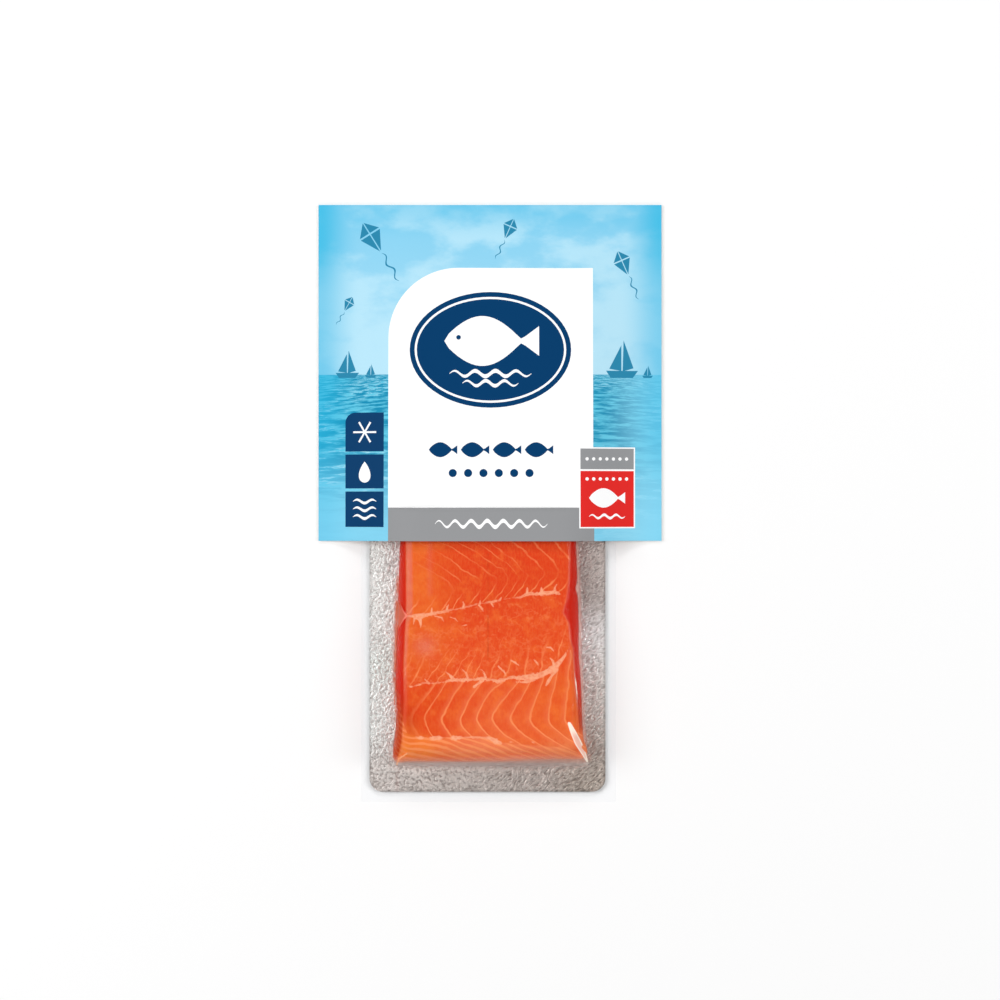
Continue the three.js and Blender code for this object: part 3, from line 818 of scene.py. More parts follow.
def add(tree, kind, *values, **settings):
    """Add a node and set its properties. Then set or link its inputs: values fill them in order, or one
    dictionary names them. A node as a value stands for the first of its outputs that is in use."""
    made = tree.nodes.new("ShaderNode" + kind)
    for key, value in settings.items():
        setattr(made, key, value)
    given = values[0] if values and isinstance(values[0], dict) else dict(enumerate(values))
    for key, value in given.items():
        if isinstance(value, bpy.types.Node):
            value = next(socket for socket in value.outputs if socket.enabled)
        if isinstance(value, bpy.types.NodeSocket):
            tree.links.new(value, made.inputs[key])
        else:
            made.inputs[key].default_value = value
    return made


def fresh(name):
    """A new material with an empty node tree and its output."""
    material = bpy.data.materials.new(name)
    material.use_nodes = True
    material.node_tree.nodes.clear()
    return material, material.node_tree, add(material.node_tree, "OutputMaterial")


def per_metre(spacing):
    """Scale of a noise whose grains lie that many millimetres apart, to two digits."""
    return float(f"{1000 / spacing:.2g}")


# Settings that many nodes share: how Math joins two numbers or changes one, an eased range, and a mix of
# colours. TO_AND_FRO folds a number into a zigzag, and REST leaves what is behind its decimal point.
JOINS = [{"operation": name} for name in ("ADD", "SUBTRACT", "MULTIPLY", "DIVIDE", "MULTIPLY_ADD", "MAXIMUM")]
PLUS, LESS, TIMES, OVER, TIMES_PLUS, LARGER = JOINS
CHANGES = [{"operation": name} for name in ("ABSOLUTE", "LOGARITHM", "PINGPONG", "FRACT")]
SIZE, LOG, TO_AND_FRO, REST = CHANGES
EASED = {"interpolation_type": "SMOOTHSTEP"}
COLOURS = {"data_type": "RGBA"}
print("#808080 in linear light:", round(linear("#808080")[0], 3))

# %% [markdown]
# ### Trout flesh
# Raw cured trout is a moist, slightly see-through muscle, coloured orange by what the fish eats, with pale
# fat between its layers. The colour changes slowly over the piece, from yellow orange at the left to red
# orange in the upper middle, and the sides are a deep red. Walls and fat lines come from the numbers stored
# on the points.

# %% Trout flesh
# Tones of the fish round some places: colour, x, y, and how far it spreads in millimetres.
FLESH_SPOTS = [
    ("#e94f22", 0, -60, 40),
    ("#f1762d", -36, -35, 13),
    ("#ea6a2a", -35, -62, 9),
    ("#de401c", -10, -30, 13),
    ("#e0431e", 5, -25, 18),
    ("#e0441e", 22, -30, 12),
    ("#e95324", 22, -62, 14),
    ("#e24a19", -26, -93, 9),
    ("#ed6432", 2, -98, 14),
    ("#ee6a2c", 36, -92, 10),
    ("#f4824e", 0, -119, 9),
    ("#f28a58", 36, -119, 7),
    ("#fa8c3c", -38, -119, 7),
]
x, y, z = places(fillet.data)
flesh = 0.93 * blended(FLESH_SPOTS, x, y)  # the light on the film above makes up the rest
note(fillet.data, "flesh", *flesh.T)


def trout_flesh():
    """Muscle with fine fibres, pale walls by phase and fat lines by distance, under a moist surface. The
    colour is built up in coats: each has a tone and a share from 0 to 1, by which it covers what lies under
    it."""
    material, tree, out = fresh("trout_flesh")
    place = add(tree, "TexCoord").outputs["Object"]
    px, py, _ = add(tree, "SeparateXYZ", place).outputs
    read = {name: add(tree, "Attribute", attribute_name=name).outputs["Vector"]
            for name in ("from_lines", "line_widths", "wall_phases", "branch_spur_red", "flesh")}
    upper, lower, edge = add(tree, "SeparateXYZ", read["from_lines"]).outputs
    upper_w, lower_w, edge_w = add(tree, "SeparateXYZ", read["line_widths"]).outputs
    upper_p, arrow_p, edge_p = add(tree, "SeparateXYZ", read["wall_phases"]).outputs
    branch_p, spur, red = add(tree, "SeparateXYZ", read["branch_spur_red"]).outputs

    about_zero = []
    for grain, detail in [(1.11, 3), (3.85, 2)]:
        noise = add(tree, "TexNoise", {"Vector": place, "Scale": per_metre(grain), "Detail": detail})
        about_zero.append(add(tree, "Math", noise, 0.5, **LESS))
    ragged, waver = about_zero
    patchy = add(tree, "TexNoise", {"Vector": place, "Scale": per_metre(6.7), "Detail": 1})
    strong = add(tree, "MapRange", patchy, 0.3, 0.6, 0.25, 1.0, **EASED)

    def walls(phase, width, soft, wobble):
        """Lines where the phase is whole, that many walls wide, with a soft edge."""
        moved = add(tree, "Math", waver, wobble, phase, **TIMES_PLUS)
        away = add(tree, "Math", add(tree, "Math", moved, 0.5, **TO_AND_FRO), width, **LESS)
        return add(tree, "MapRange", away, soft, -0.02, **EASED)

    def fat(distance, width, wobble):
        """A ragged line: 1 inside its width and 0 a little outside."""
        away = add(tree, "Math", add(tree, "Math", waver, wobble, distance, **TIMES_PLUS), **SIZE)
        away = add(tree, "Math", ragged, 2.2, away, **TIMES_PLUS)
        inside = add(tree, "MapRange", add(tree, "Math", away, width, **LESS), 0.35, -0.2, **EASED)
        return add(tree, "Math", inside, add(tree, "MapRange", width, 0.0, 0.8, 0.5, 1.0, **EASED), **TIMES)

    # Where each family of walls shows, by its distance from the fat lines in millimetres.
    above_upper = add(tree, "MapRange", upper, 0.1, 1.0, **EASED)
    below_upper = add(tree, "MapRange", upper, 0.2, -0.6, **EASED)
    above_lower = add(tree, "MapRange", lower, 0.1, 0.8, **EASED)
    below_lower = add(tree, "MapRange", lower, 0.3, -0.3, **EASED)
    above_edge = add(tree, "MapRange", edge, -0.3, 0.3, **EASED)
    on_edge = add(tree, "MapRange", edge, 0.6, -0.4, **EASED)
    between = add(tree, "Math", above_lower, below_upper, **TIMES)
    in_arrows = add(tree, "Math", below_lower, above_edge, **TIMES)

    # The upper walls fade where they fold back, with their height, and at the far left.
    past_fold = add(tree, "MapRange", upper, 4, 8, **EASED)
    before_top = add(tree, "MapRange", upper, 15, 10, **EASED)
    near_fold = add(tree, "Math", past_fold, before_top, **TIMES)
    by_height = add(tree, "MapRange", upper, 10, 3, 0.5, 0.8, **EASED)
    upper_share = add(tree, "Math", by_height, add(tree, "Math", near_fold, -0.75, 1, **TIMES_PLUS), **TIMES)
    upper_share = add(tree, "Math", above_upper, upper_share, **TIMES)
    far_left = add(tree, "MapRange", px, -14 * MM, -24 * MM, **EASED)
    faint = add(tree, "Math", far_left, add(tree, "MapRange", upper, 4, 9, **EASED), **TIMES)
    upper_share = add(tree, "Math", upper_share, add(tree, "Math", faint, -0.6, 1, **TIMES_PLUS), **TIMES)

    branch_share = add(tree, "Math", between, add(tree, "MapRange", lower, 19, 4, 0.0, 0.7, **EASED), **TIMES)
    from_left = add(tree, "MapRange", px, -33 * MM, -27 * MM, 0.35, 1.0, **EASED)
    arrow_share = add(tree, "Math", in_arrows, from_left, **TIMES)
    by_height = add(tree, "MapRange", edge, 17, 10, 0.55, 0.8, **EASED)
    arrow_share = add(tree, "Math", arrow_share, by_height, **TIMES)
    from_left = add(tree, "MapRange", px, -42 * MM, -37 * MM, 0.25, 0.85, **EASED)
    edge_share = add(tree, "Math", on_edge, from_left, **TIMES)
    edge_width = add(tree, "MapRange", patchy, 0.35, 0.65, 0.06, 0.15, **EASED)

    upper_walls = add(tree, "Math", walls(upper_p, 0.04, 0.06, 0.3), upper_share, **TIMES)
    arrow_walls = add(tree, "Math", walls(arrow_p, 0.035, 0.055, 0.12), arrow_share, **TIMES)
    edge_walls = add(tree, "Math", walls(edge_p, edge_width, 0.2, 0.3), edge_share, **TIMES)
    branch_walls = add(tree, "Math", walls(branch_p, 0.035, 0.06, 0.25), branch_share, **TIMES)
    wall = add(tree, "Math", upper_walls, strong, **TIMES)
    for family in (arrow_walls, edge_walls, add(tree, "Math", branch_walls, strong, **TIMES)):
        wall = add(tree, "Math", wall, family, **LARGER)
    bare_side = add(tree, "Math", red, add(tree, "Math", on_edge, -0.65, 0.95, **TIMES_PLUS), **TIMES)
    wall = add(tree, "Math", wall, add(tree, "Math", 1, bare_side, **LESS), **TIMES)

    spurs = add(tree, "MapRange", add(tree, "Math", ragged, 0.9, spur, **TIMES_PLUS), 0.35, -0.15, **EASED)
    fat_low = add(tree, "Math", fat(lower, lower_w, 1.2), fat(edge, edge_w, 1.2), **LARGER)
    fat_all = add(tree, "Math", fat(upper, upper_w, 0.9), fat_low, **LARGER)
    fat_all = add(tree, "Math", fat_all, spurs, **LARGER)
    fat_all = add(tree, "Math", fat_all, add(tree, "Math", 1, red, **LESS), **TIMES)
    broken = add(tree, "MapRange", ragged, -0.2, 0.1, 0.55, 1.0, **EASED)
    fat_all = add(tree, "Math", fat_all, broken, **TIMES)

    # The grain of the muscle: fibres, drawn coarser than real ones because those wouldn't show, then
    # blotches, and a fine net with flecks between the two fat lines.
    drawn_out = add(tree, "Mapping", {"Vector": place, "Scale": (1, 0.35, 1)})
    fibres = add(tree, "TexNoise", {"Vector": drawn_out, "Scale": per_metre(0.77), "Detail": 4})
    blotches = add(tree, "TexNoise", {"Vector": place, "Scale": per_metre(6.25), "Detail": 4,
                                      "Roughness": 0.6})
    net = add(tree, "TexNoise", {"Vector": place, "Scale": per_metre(5.3), "Detail": 2, "Roughness": 0.55})
    net = add(tree, "Math", add(tree, "Math", net, 0.5, **LESS), **SIZE)
    deep = add(tree, "Math", between, add(tree, "MapRange", upper, -2, -9, **EASED), **TIMES)
    deep = add(tree, "Math", deep, strong, **TIMES)
    net = add(tree, "Math", add(tree, "MapRange", net, 0.055, 0.0, **EASED), deep, **TIMES)
    flecks = add(tree, "TexNoise", {"Vector": place, "Scale": per_metre(2.4), "Detail": 2, "Roughness": 0.6})
    flecks = add(tree, "Math", add(tree, "MapRange", flecks, 0.56, 0.68, **EASED), between, **TIMES)
    net, flecks = (add(tree, "Math", part, 0.22, **TIMES) for part in (net, flecks))
    within = add(tree, "MapRange", add(tree, "Math", arrow_p, **REST), 0.55, 1.0, 0.0, 0.3, **EASED)
    to_right = add(tree, "MapRange", px, -29 * MM, -20 * MM, **EASED)
    within = add(tree, "Math", within, add(tree, "Math", in_arrows, to_right, **TIMES), **TIMES)

    rightward = add(tree, "MapRange", px, -36 * MM, -5 * MM, **EASED)
    edge_tone = add(tree, "Mix", {0: rightward, 6: linear("#f28238"), 7: linear("#f08a60")}, **COLOURS)
    downward = add(tree, "MapRange", py, -80 * MM, -105 * MM, **EASED)
    side_tone = add(tree, "Mix", {0: downward, 6: linear("#cd210f"), 7: linear("#b8360c")}, **COLOURS)
    coats = [
        (add(tree, "MapRange", blotches, 0.4, 0.7, 0.0, 0.45, **EASED), linear("#dc3c1a")),
        (add(tree, "MapRange", blotches, 0.48, 0.3, 0.0, 0.3, **EASED), linear("#f27a35")),
        (add(tree, "MapRange", fibres, 0.35, 0.75, 0.0, 0.15, **EASED), linear("#f48a4a")),
        (add(tree, "Math", net, flecks, **LARGER), linear("#f69460")),
        (within, linear("#f4875a")),
        (add(tree, "Math", on_edge, 0.45, **TIMES), edge_tone),
        (add(tree, "Math", red, 0.96, **TIMES), side_tone),
        (add(tree, "Math", wall, 0.85, **TIMES), linear("#f9965f")),
        (add(tree, "Math", fat_all, 0.9, **TIMES), linear("#f8ac86")),
    ]
    colour = read["flesh"]
    for share, tone in coats:
        colour = add(tree, "Mix", {0: share, 6: colour, 7: tone}, **COLOURS)

    bump = add(tree, "Bump", {"Strength": 0.25, "Distance": 0.2 * MM, "Height": fibres})
    shader = add(tree, "BsdfPrincipled",
                 {"Base Color": colour, "Roughness": 0.42, "IOR": 1.38, "Specular IOR Level": 0.06,
                  "Subsurface Weight": 0.06, "Subsurface Radius": (1.0, 0.35, 0.15),
                  "Subsurface Scale": 2 * MM, "Normal": bump})
    tree.links.new(shader.outputs[0], out.inputs["Surface"])
    return material


fillet.data.materials.append(trout_flesh())
print("nodes in the flesh:", len(fillet.data.materials[0].node_tree.nodes))

# %% [markdown]
# ### Embossed aluminium foil
# The foil is bare aluminium rolled with a crackle pattern and laminated to card. It mirrors the room in
# facets of about a millimetre, so it looks grey with white glints. It is a full metal, because bare foil has
# no paint on it. Its colour carries painted light and shade: lighter at the left and beside the fillet's
# right side, darker at the lower end, and darker in the crackle's grooves.

# %% Embossed aluminium foil
# Painted light and shade on the foil round some places: lighter at the left and beside the fillet's right
# side, where the fillet shades it, and darker at the lower end. Colour, x, y, and how far it spreads in mm.
FOIL_PAINTED_LIGHT = [
    ("#efe8e4", 0, -70, 60),
    ("#f8faf7", -51, -50, 26),
    ("#fafffc", -51, -95, 14),
    ("#eafaf4", -46, -75, 6),
    ("#d2c9c4", -48, -129, 10),
    ("#cac1bb", -20, -129, 12),
    ("#baafa8", 15, -129, 14),
    ("#ada094", 46, -129, 10),
    ("#d2c9c1", 49, -112, 9),
    ("#e6dfd8", 49, -93, 8),
    ("#ffffff", 46, -64, 9),
    ("#f4eee9", 50, -80, 12),
    ("#bdb2ac", 49, -41, 8),
    ("#d8ccc6", 49, -20, 10),
]
x, y, z = places(foil_board.data)
rim_x = BOARD_WIDTH / 2 - np.abs(x - BOARD_X)
rim_y = BOARD_LENGTH / 2 - np.abs(y - BOARD_LOW - BOARD_LENGTH / 2)
# The tone is darker within a millimetre of the rim, and painted lighter in a strip just below the fillet's
# lower end, over the shade there.
rim_darkening = 1 - 0.3 * eased(1.1, 0.3, np.minimum(rim_x, rim_y))
rim_and_painted_light = rim_darkening * (1 + 0.12 * np.exp(-(((y + 123.8) / 2) ** 2)) * eased(46, 42, np.abs(x)))
note(foil_board.data, "foil_tone_and_painted_light", *(blended(FOIL_PAINTED_LIGHT, x, y) * rim_and_painted_light[:, None]).T)


def embossed_foil():
    """Metal with a crackle finer than the modelled one, and painted shade in its grooves that grows towards
    the lower end. The crackle is even at the left and drawn out into slanting strokes at the right."""
    material, tree, out = fresh("embossed_aluminium_foil")
    place = add(tree, "TexCoord").outputs["Object"]
    slanted = add(tree, "Mapping",
                  {"Vector": place, "Rotation": (0, 0, math.radians(-50)), "Scale": (1, 2.6, 1)},
                  vector_type="TEXTURE")
    px, py, _ = add(tree, "SeparateXYZ", place).outputs
    even = add(tree, "TexNoise", {"Vector": place, "Scale": per_metre(1.25), "Detail": 3, "Roughness": 0.6})
    strokes = add(tree, "TexNoise", {"Vector": slanted, "Scale": per_metre(0.91), "Detail": 3,
                                     "Roughness": 0.5, "Distortion": 0.6})
    rightward = add(tree, "MapRange", px, -35 * MM, 35 * MM, **EASED)
    crackle = add(tree, "Mix", {0: rightward, 2: even, 3: strokes})
    deeper = add(tree, "MapRange", py, -110 * MM, -122 * MM, 0.0, 0.2, **EASED)
    strength = add(tree, "MapRange", px, -35 * MM, 30 * MM, 0.85, 1.15, **EASED)
    strength = add(tree, "Math", strength, deeper, **PLUS)
    bump = add(tree, "Bump", {"Strength": strength, "Distance": 0.6 * MM, "Height": crackle})
    bare = add(tree, "Attribute", attribute_name="foil_tone_and_painted_light").outputs["Vector"]
    # Painted shade in the crackle's grooves, stronger towards the lower end.
    groove_shade = add(tree, "MapRange", crackle, 0.55, 0.36, **EASED)
    groove_shade = add(tree, "Math", groove_shade, add(tree, "Math", deeper, 0.5, **PLUS), **TIMES)
    shaded_grooves = add(tree, "Mix", {0: groove_shade, 6: bare, 7: linear("#9f9894")}, blend_type="MULTIPLY", **COLOURS)
    dullness = add(tree, "MapRange", px, -35 * MM, 30 * MM, 0.5, 0.42, **EASED)
    shader = add(tree, "BsdfPrincipled", {"Base Color": shaded_grooves, "Metallic": 1.0, "Roughness": dullness,
                                          "Normal": bump})
    tree.links.new(shader.outputs[0], out.inputs["Surface"])
    return material


foil_board.data.materials.append(embossed_foil())
print("foil tones from", rim_and_painted_light.min().round(2), "to", rim_and_painted_light.max().round(2))

# %% [markdown]
# ### Clear vacuum film
# The film is polyamide and polyethylene, drawn here 0.15 mm thick. It hides nothing, but its surface mirrors
# lights, more at a slant, so it is see-through mixed with gloss by Fresnel. It is milky where it lies double
# round the board. Milky coats also carry painted light: painted highlights along its folds and the left
# shoulder, and painted glow where it stands off the fish, laid over the shade beneath.

# %% Painted highlights and glow on the film, where it is folded or stands off
# Strokes of painted highlight along the film's folds: x, y and half the fold's width at each bend.
# Below 0 it only just shows.
FOLD_HIGHLIGHTS = [
    [(36.6, -101.4, 0.75), (38.2, -105, 1.25), (40.7, -110.4, 1.55), (43.3, -115.3, 1.05), (45.7, -121, 0.2)],
    [(-38, -115.2, 0.3), (-41.9, -117.8, 0.42), (-43.6, -121.6, 0.4)],
    [(-42.5, -44, 0), (-41.2, -47.2, 0.1), (-40, -49.8, 0.2), (-38.6, -51.7, 0.5)],
    [(-38.6, -51.9, 0.5), (-40, -53.6, 0.25), (-41.3, -55.8, 0.2), (-42.5, -58.2, 0.1), (-43.2, -61, 0)],
    [(38.7, -76, -0.15), (39.7, -83, 0.25), (40.2, -88, 0.15), (40.7, -95, -0.15)],
]


def film_painted_sheen(x, y):
    """Share of painted highlight on the film, as a milky coat: a band inside the left shoulder, a streak
    beside it and a sheen below the pinch."""
    inside_left = x - along(LEFT_SHOULDER, y)
    above_pinch = eased(-56, -50, y)
    band = (0.75 + 0.25 * above_pinch) * eased(-0.3, 0.3, inside_left)
    band *= eased(1.9, 0.9, inside_left - 1.4 * above_pinch) * (0.3 + 0.7 * eased(-96, -70, y))
    streak = 0.35 * np.exp(-(((x + 27.8) / 1.3) ** 2)) * eased(-46, -40, y)
    sheen = 0.8 * np.exp(-(((x + 29.9) / 5) ** 2) - ((y + 66) / 4.5) ** 2)
    return band + streak + sheen


def left_edge(y):
    """The fillet's left edge without its pinch."""
    return FISH_X - FISH_HALF - FISH_TAPER * (FISH_MIDDLE - y) + stand_off(y)


def right_edge(y):
    """The fillet's right edge without its pinch: it bulges at the lower end."""
    dent = sum(foot * np.exp(-(((y - at) / spread) ** 2)) for _, at, foot, _, spread in DENTS)
    return FISH_X + FISH_HALF + FISH_TAPER * (FISH_MIDDLE - y) - dent


def left_pinch(y):
    """How far the left pinch shows as drawn in, which is a little more than the flesh behind the film is."""
    return 4.1 * pinched_in(y, PINCHES[0][1], 7.5)


def film_tent(x, y):
    """Share of the film that stands off the fish's lower end and reaches down to the board, wider to the
    right. Its milky coat is painted light: pinkish light from the flesh near the fish, and a pale grey laid
    over the shade on the board at the film's foot."""
    start = -116.2 + 1.1 * eased(-10, 12, x) + wander(x, y, 6, 10, 0.5)
    return eased(start, start - 3.6, y) * eased(47, 44.5, np.abs(x - 0.5)) * eased(-125, -122, y)


def film_web_and_glow(x, y, z):
    """Share of the film that bridges the left pinch, its milky coat painted over the shade in the notch, and
    the painted glow at the foot of the fillet's right side, which fills the pinch there and lifts the shade
    on the board, with a painted thin line of light on the right shoulder."""
    notch = left_edge(y) + left_pinch(y) - x
    left = eased(-0.9, -0.4, notch) * eased(0.1, 0.6, left_pinch(y)) * eased(-1.4, 1.6, x - left_edge(y))
    _, at, depth, _, spread = PINCHES[1]
    drawn_in = depth * pinched_in(y, at, spread)
    outward = x - right_edge(y)
    right = eased(-0.8, -0.2, outward + drawn_in) * np.exp(-((np.maximum(outward - 0.1, 0) / 0.75) ** 2))
    right *= 0.3 + 0.7 * np.maximum(eased(FILM_ON_BOARD + 4, FILM_ON_BOARD + 1, z), eased(0.1, 0.6, drawn_in))
    line = (0.12 + 0.1 * eased(-62, -82, y)) * np.exp(-(((along(RIGHT_SHOULDER, y) - x - 0.1) / 0.45) ** 2))
    return left, 0.72 * right * eased(-116, -108, y) + line * eased(-98, -90, y)


def film_fringe(x, y):
    """Light that the fillet's left side throws on the film at its foot, wavy because the side is."""
    away = left_edge(y) - x + wander(x * 0, y, 4, 12, 0.3)
    glow = np.maximum(0.25 * np.exp(-((away / 1.2) ** 2)), 0.9 * np.exp(-(((away - 0.1) / 0.4) ** 2)))
    return glow * eased(-108, -90, y) * eased(-28, -40, y)


# %% Notes for the film's material
x, y, z = places(film_pouch.data)
above = z > FILM_ON_BOARD - 0.3
note(film_pouch.data, "film_marks", from_strokes(x, y, FOLD_HIGHLIGHTS) + 9 * ~above, film_painted_sheen(x, y) * above,
     film_tent(x, y) * above)
left_web, right_glow = film_web_and_glow(x, y, z)
note(film_pouch.data, "film_web_and_glow", left_web * above, right_glow * above, film_fringe(x, y) * above)
# The hazy share counts the points with painted sheen.
print("share of the film's points that are hazy:", (film_painted_sheen(x, y) * above > 0.1).mean().round(3))

# %% Clear vacuum film
FILM_IOR = 1.5


def vacuum_film():
    """See-through with a mirror share by angle and faint ripples, milky where it is doubled, and with milky
    coats of painted highlight and painted light where it is stretched, folded or stands off.
    """
    material, tree, out = fresh("clear_vacuum_film")
    place = add(tree, "TexCoord").outputs["Object"]
    marks = add(tree, "Attribute", attribute_name="film_marks").outputs["Vector"]
    fold, painted_sheen, tent = add(tree, "SeparateXYZ", marks).outputs
    web = add(tree, "Attribute", attribute_name="film_web_and_glow").outputs["Vector"]
    left_web, right_glow, fringe = add(tree, "SeparateXYZ", web).outputs
    ripples = add(tree, "TexNoise", {"Vector": place, "Scale": per_metre(8.3), "Detail": 3})
    bump = add(tree, "Bump", {"Strength": 0.12, "Distance": 0.6 * MM, "Height": ripples})
    behind = add(tree, "NewGeometry").outputs["Backfacing"]
    index = add(tree, "Math", FILM_IOR, add(tree, "Math", behind, FILM_IOR - 1 / FILM_IOR, **TIMES), **LESS)
    share = add(tree, "Fresnel", {"IOR": index, "Normal": bump})
    share = add(tree, "Math", share, 0.016, 0.002, **TIMES_PLUS)
    tint = (0.996, 0.997, 1, 1)  # linear, because it is nearer to white than a hex value can be
    clear = add(tree, "BsdfTransparent", {"Color": tint})
    gloss = add(tree, "BsdfGlossy", {"Color": linear("#ffffff"), "Roughness": 0.12, "Normal": bump})
    surface = add(tree, "MixShader", share, clear, gloss)

    # A fold at the lower right is a painted highlight, a bright sliver with a warm core; the others are thin
    # creases painted as lines of light.
    px, py, _ = add(tree, "SeparateXYZ", place).outputs
    within = add(tree, "MapRange", fold, -0.15, -0.75, **EASED)
    core = add(tree, "Math", within, add(tree, "MapRange", py, -104 * MM, -108 * MM, **EASED), **TIMES)
    sliver = add(tree, "Mix", {0: core, 6: linear("#fff6e6"), 7: linear("#f2c8b8")}, **COLOURS)
    upward = add(tree, "MapRange", py, -80 * MM, -70 * MM, **EASED)
    crease = add(tree, "Mix", {0: upward, 6: linear("#ffb07c"), 7: linear("#f28470")}, **COLOURS)
    at_right = add(tree, "MapRange", px, -1 * MM, 1 * MM, **EASED)
    fold_highlight_tone = add(tree, "Mix", {0: at_right, 6: crease, 7: sliver}, **COLOURS)

    # Both skins are pressed together past the board's edge.
    from_middle = add(tree, "Math", add(tree, "Math", px, BOARD_X * MM, **LESS), **SIZE)
    edge, seal = BOARD_WIDTH / 2, 0.6
    sideways = add(tree, "MapRange", from_middle, edge * MM, (edge + seal) * MM, **EASED)
    below = add(tree, "MapRange", py, BOARD_LOW * MM, (BOARD_LOW - seal) * MM, **EASED)
    sealed = add(tree, "Math", sideways, below, **LARGER)
    downward = add(tree, "MapRange", py, -118.5 * MM, -121 * MM, **EASED)
    tent_light_tone = add(tree, "Mix", {0: downward, 6: linear("#eeb09a"), 7: linear("#c9bab5")}, **COLOURS)
    # Milky coats, each over what is under it: a faint grey where the skins are sealed, painted highlights on
    # the left shoulder, the web over the left pinch painted over the notch's shade, a painted glow at the
    # right foot, painted light from the fillet's left side, the tent painted with light over shade, and
    # painted highlights on the folds.
    layers = [
        (add(tree, "Math", sealed, 0.022, **TIMES), linear("#b4b8be")),
        (add(tree, "Math", painted_sheen, 0.35, **TIMES), linear("#c4817c")),
        (add(tree, "Math", left_web, 0.92, **TIMES), linear("#cc6048")),
        (right_glow, linear("#e8b8ac")),
        (fringe, linear("#cc5c38")),
        (add(tree, "Math", tent, 0.42, **TIMES), tent_light_tone),
        (add(tree, "Math", add(tree, "MapRange", fold, 0.2, -0.2, **EASED), 0.9, **TIMES), fold_highlight_tone),
    ]
    for amount, tone in layers:
        milky = add(tree, "BsdfDiffuse", {"Color": tone, "Normal": bump})
        surface = add(tree, "MixShader", amount, surface, milky)
    tree.links.new(surface.outputs[0], out.inputs["Surface"])
    return material


film_pouch.data.materials.append(vacuum_film())
film_pouch.visible_shadow = False  # a clear film lets the lamps' light through
print("nodes in the film:", len(film_pouch.data.materials[0].node_tree.nodes))

# %% [markdown]
# ### Printed and varnished card
# The sleeve is coated carton board, offset printed and varnished: even colour with a soft sheen, and white
# fibres at its cut edges and inside. The blue field is a sky that pales towards the horizon over a sea with
# long streaks of light, in the colours of the real print but with clouds and small boats of its own.

# %% Inks
def varnished(tree, out, colour):
    """A printed surface under a thin varnish with the faint orange-peel of coated board."""
    place = add(tree, "TexCoord").outputs["Object"]
    peel = add(tree, "TexNoise", {"Vector": place, "Scale": per_metre(2), "Detail": 2})
    bump = add(tree, "Bump", {"Strength": 0.06, "Distance": 0.3 * MM, "Height": peel})
    # The dots of a print are too fine to show, so they are drawn coarser, as a faint speckle.
    dots = add(tree, "TexNoise", {"Vector": place, "Scale": per_metre(0.25), "Detail": 1})
    speckle = add(tree, "MapRange", dots, 0.3, 0.7, 0.0, 0.05, **EASED)
    grey = linear("#f3f3f3")
    shade = add(tree, "Mix", {0: speckle, 6: colour, 7: grey}, blend_type="MULTIPLY", **COLOURS)
    shader = add(tree, "BsdfPrincipled", {"Base Color": shade, "Roughness": 0.5, "IOR": 1.46,
                                          "Specular IOR Level": 0.04, "Normal": bump})
    tree.links.new(shader.outputs[0], out.inputs["Surface"])


def plain_ink(name, hex_colour):
    """One even ink."""
    material, tree, out = fresh(name)
    varnished(tree, out, linear(hex_colour))
    return material


# %% Sky and sea
NEAREST = 5


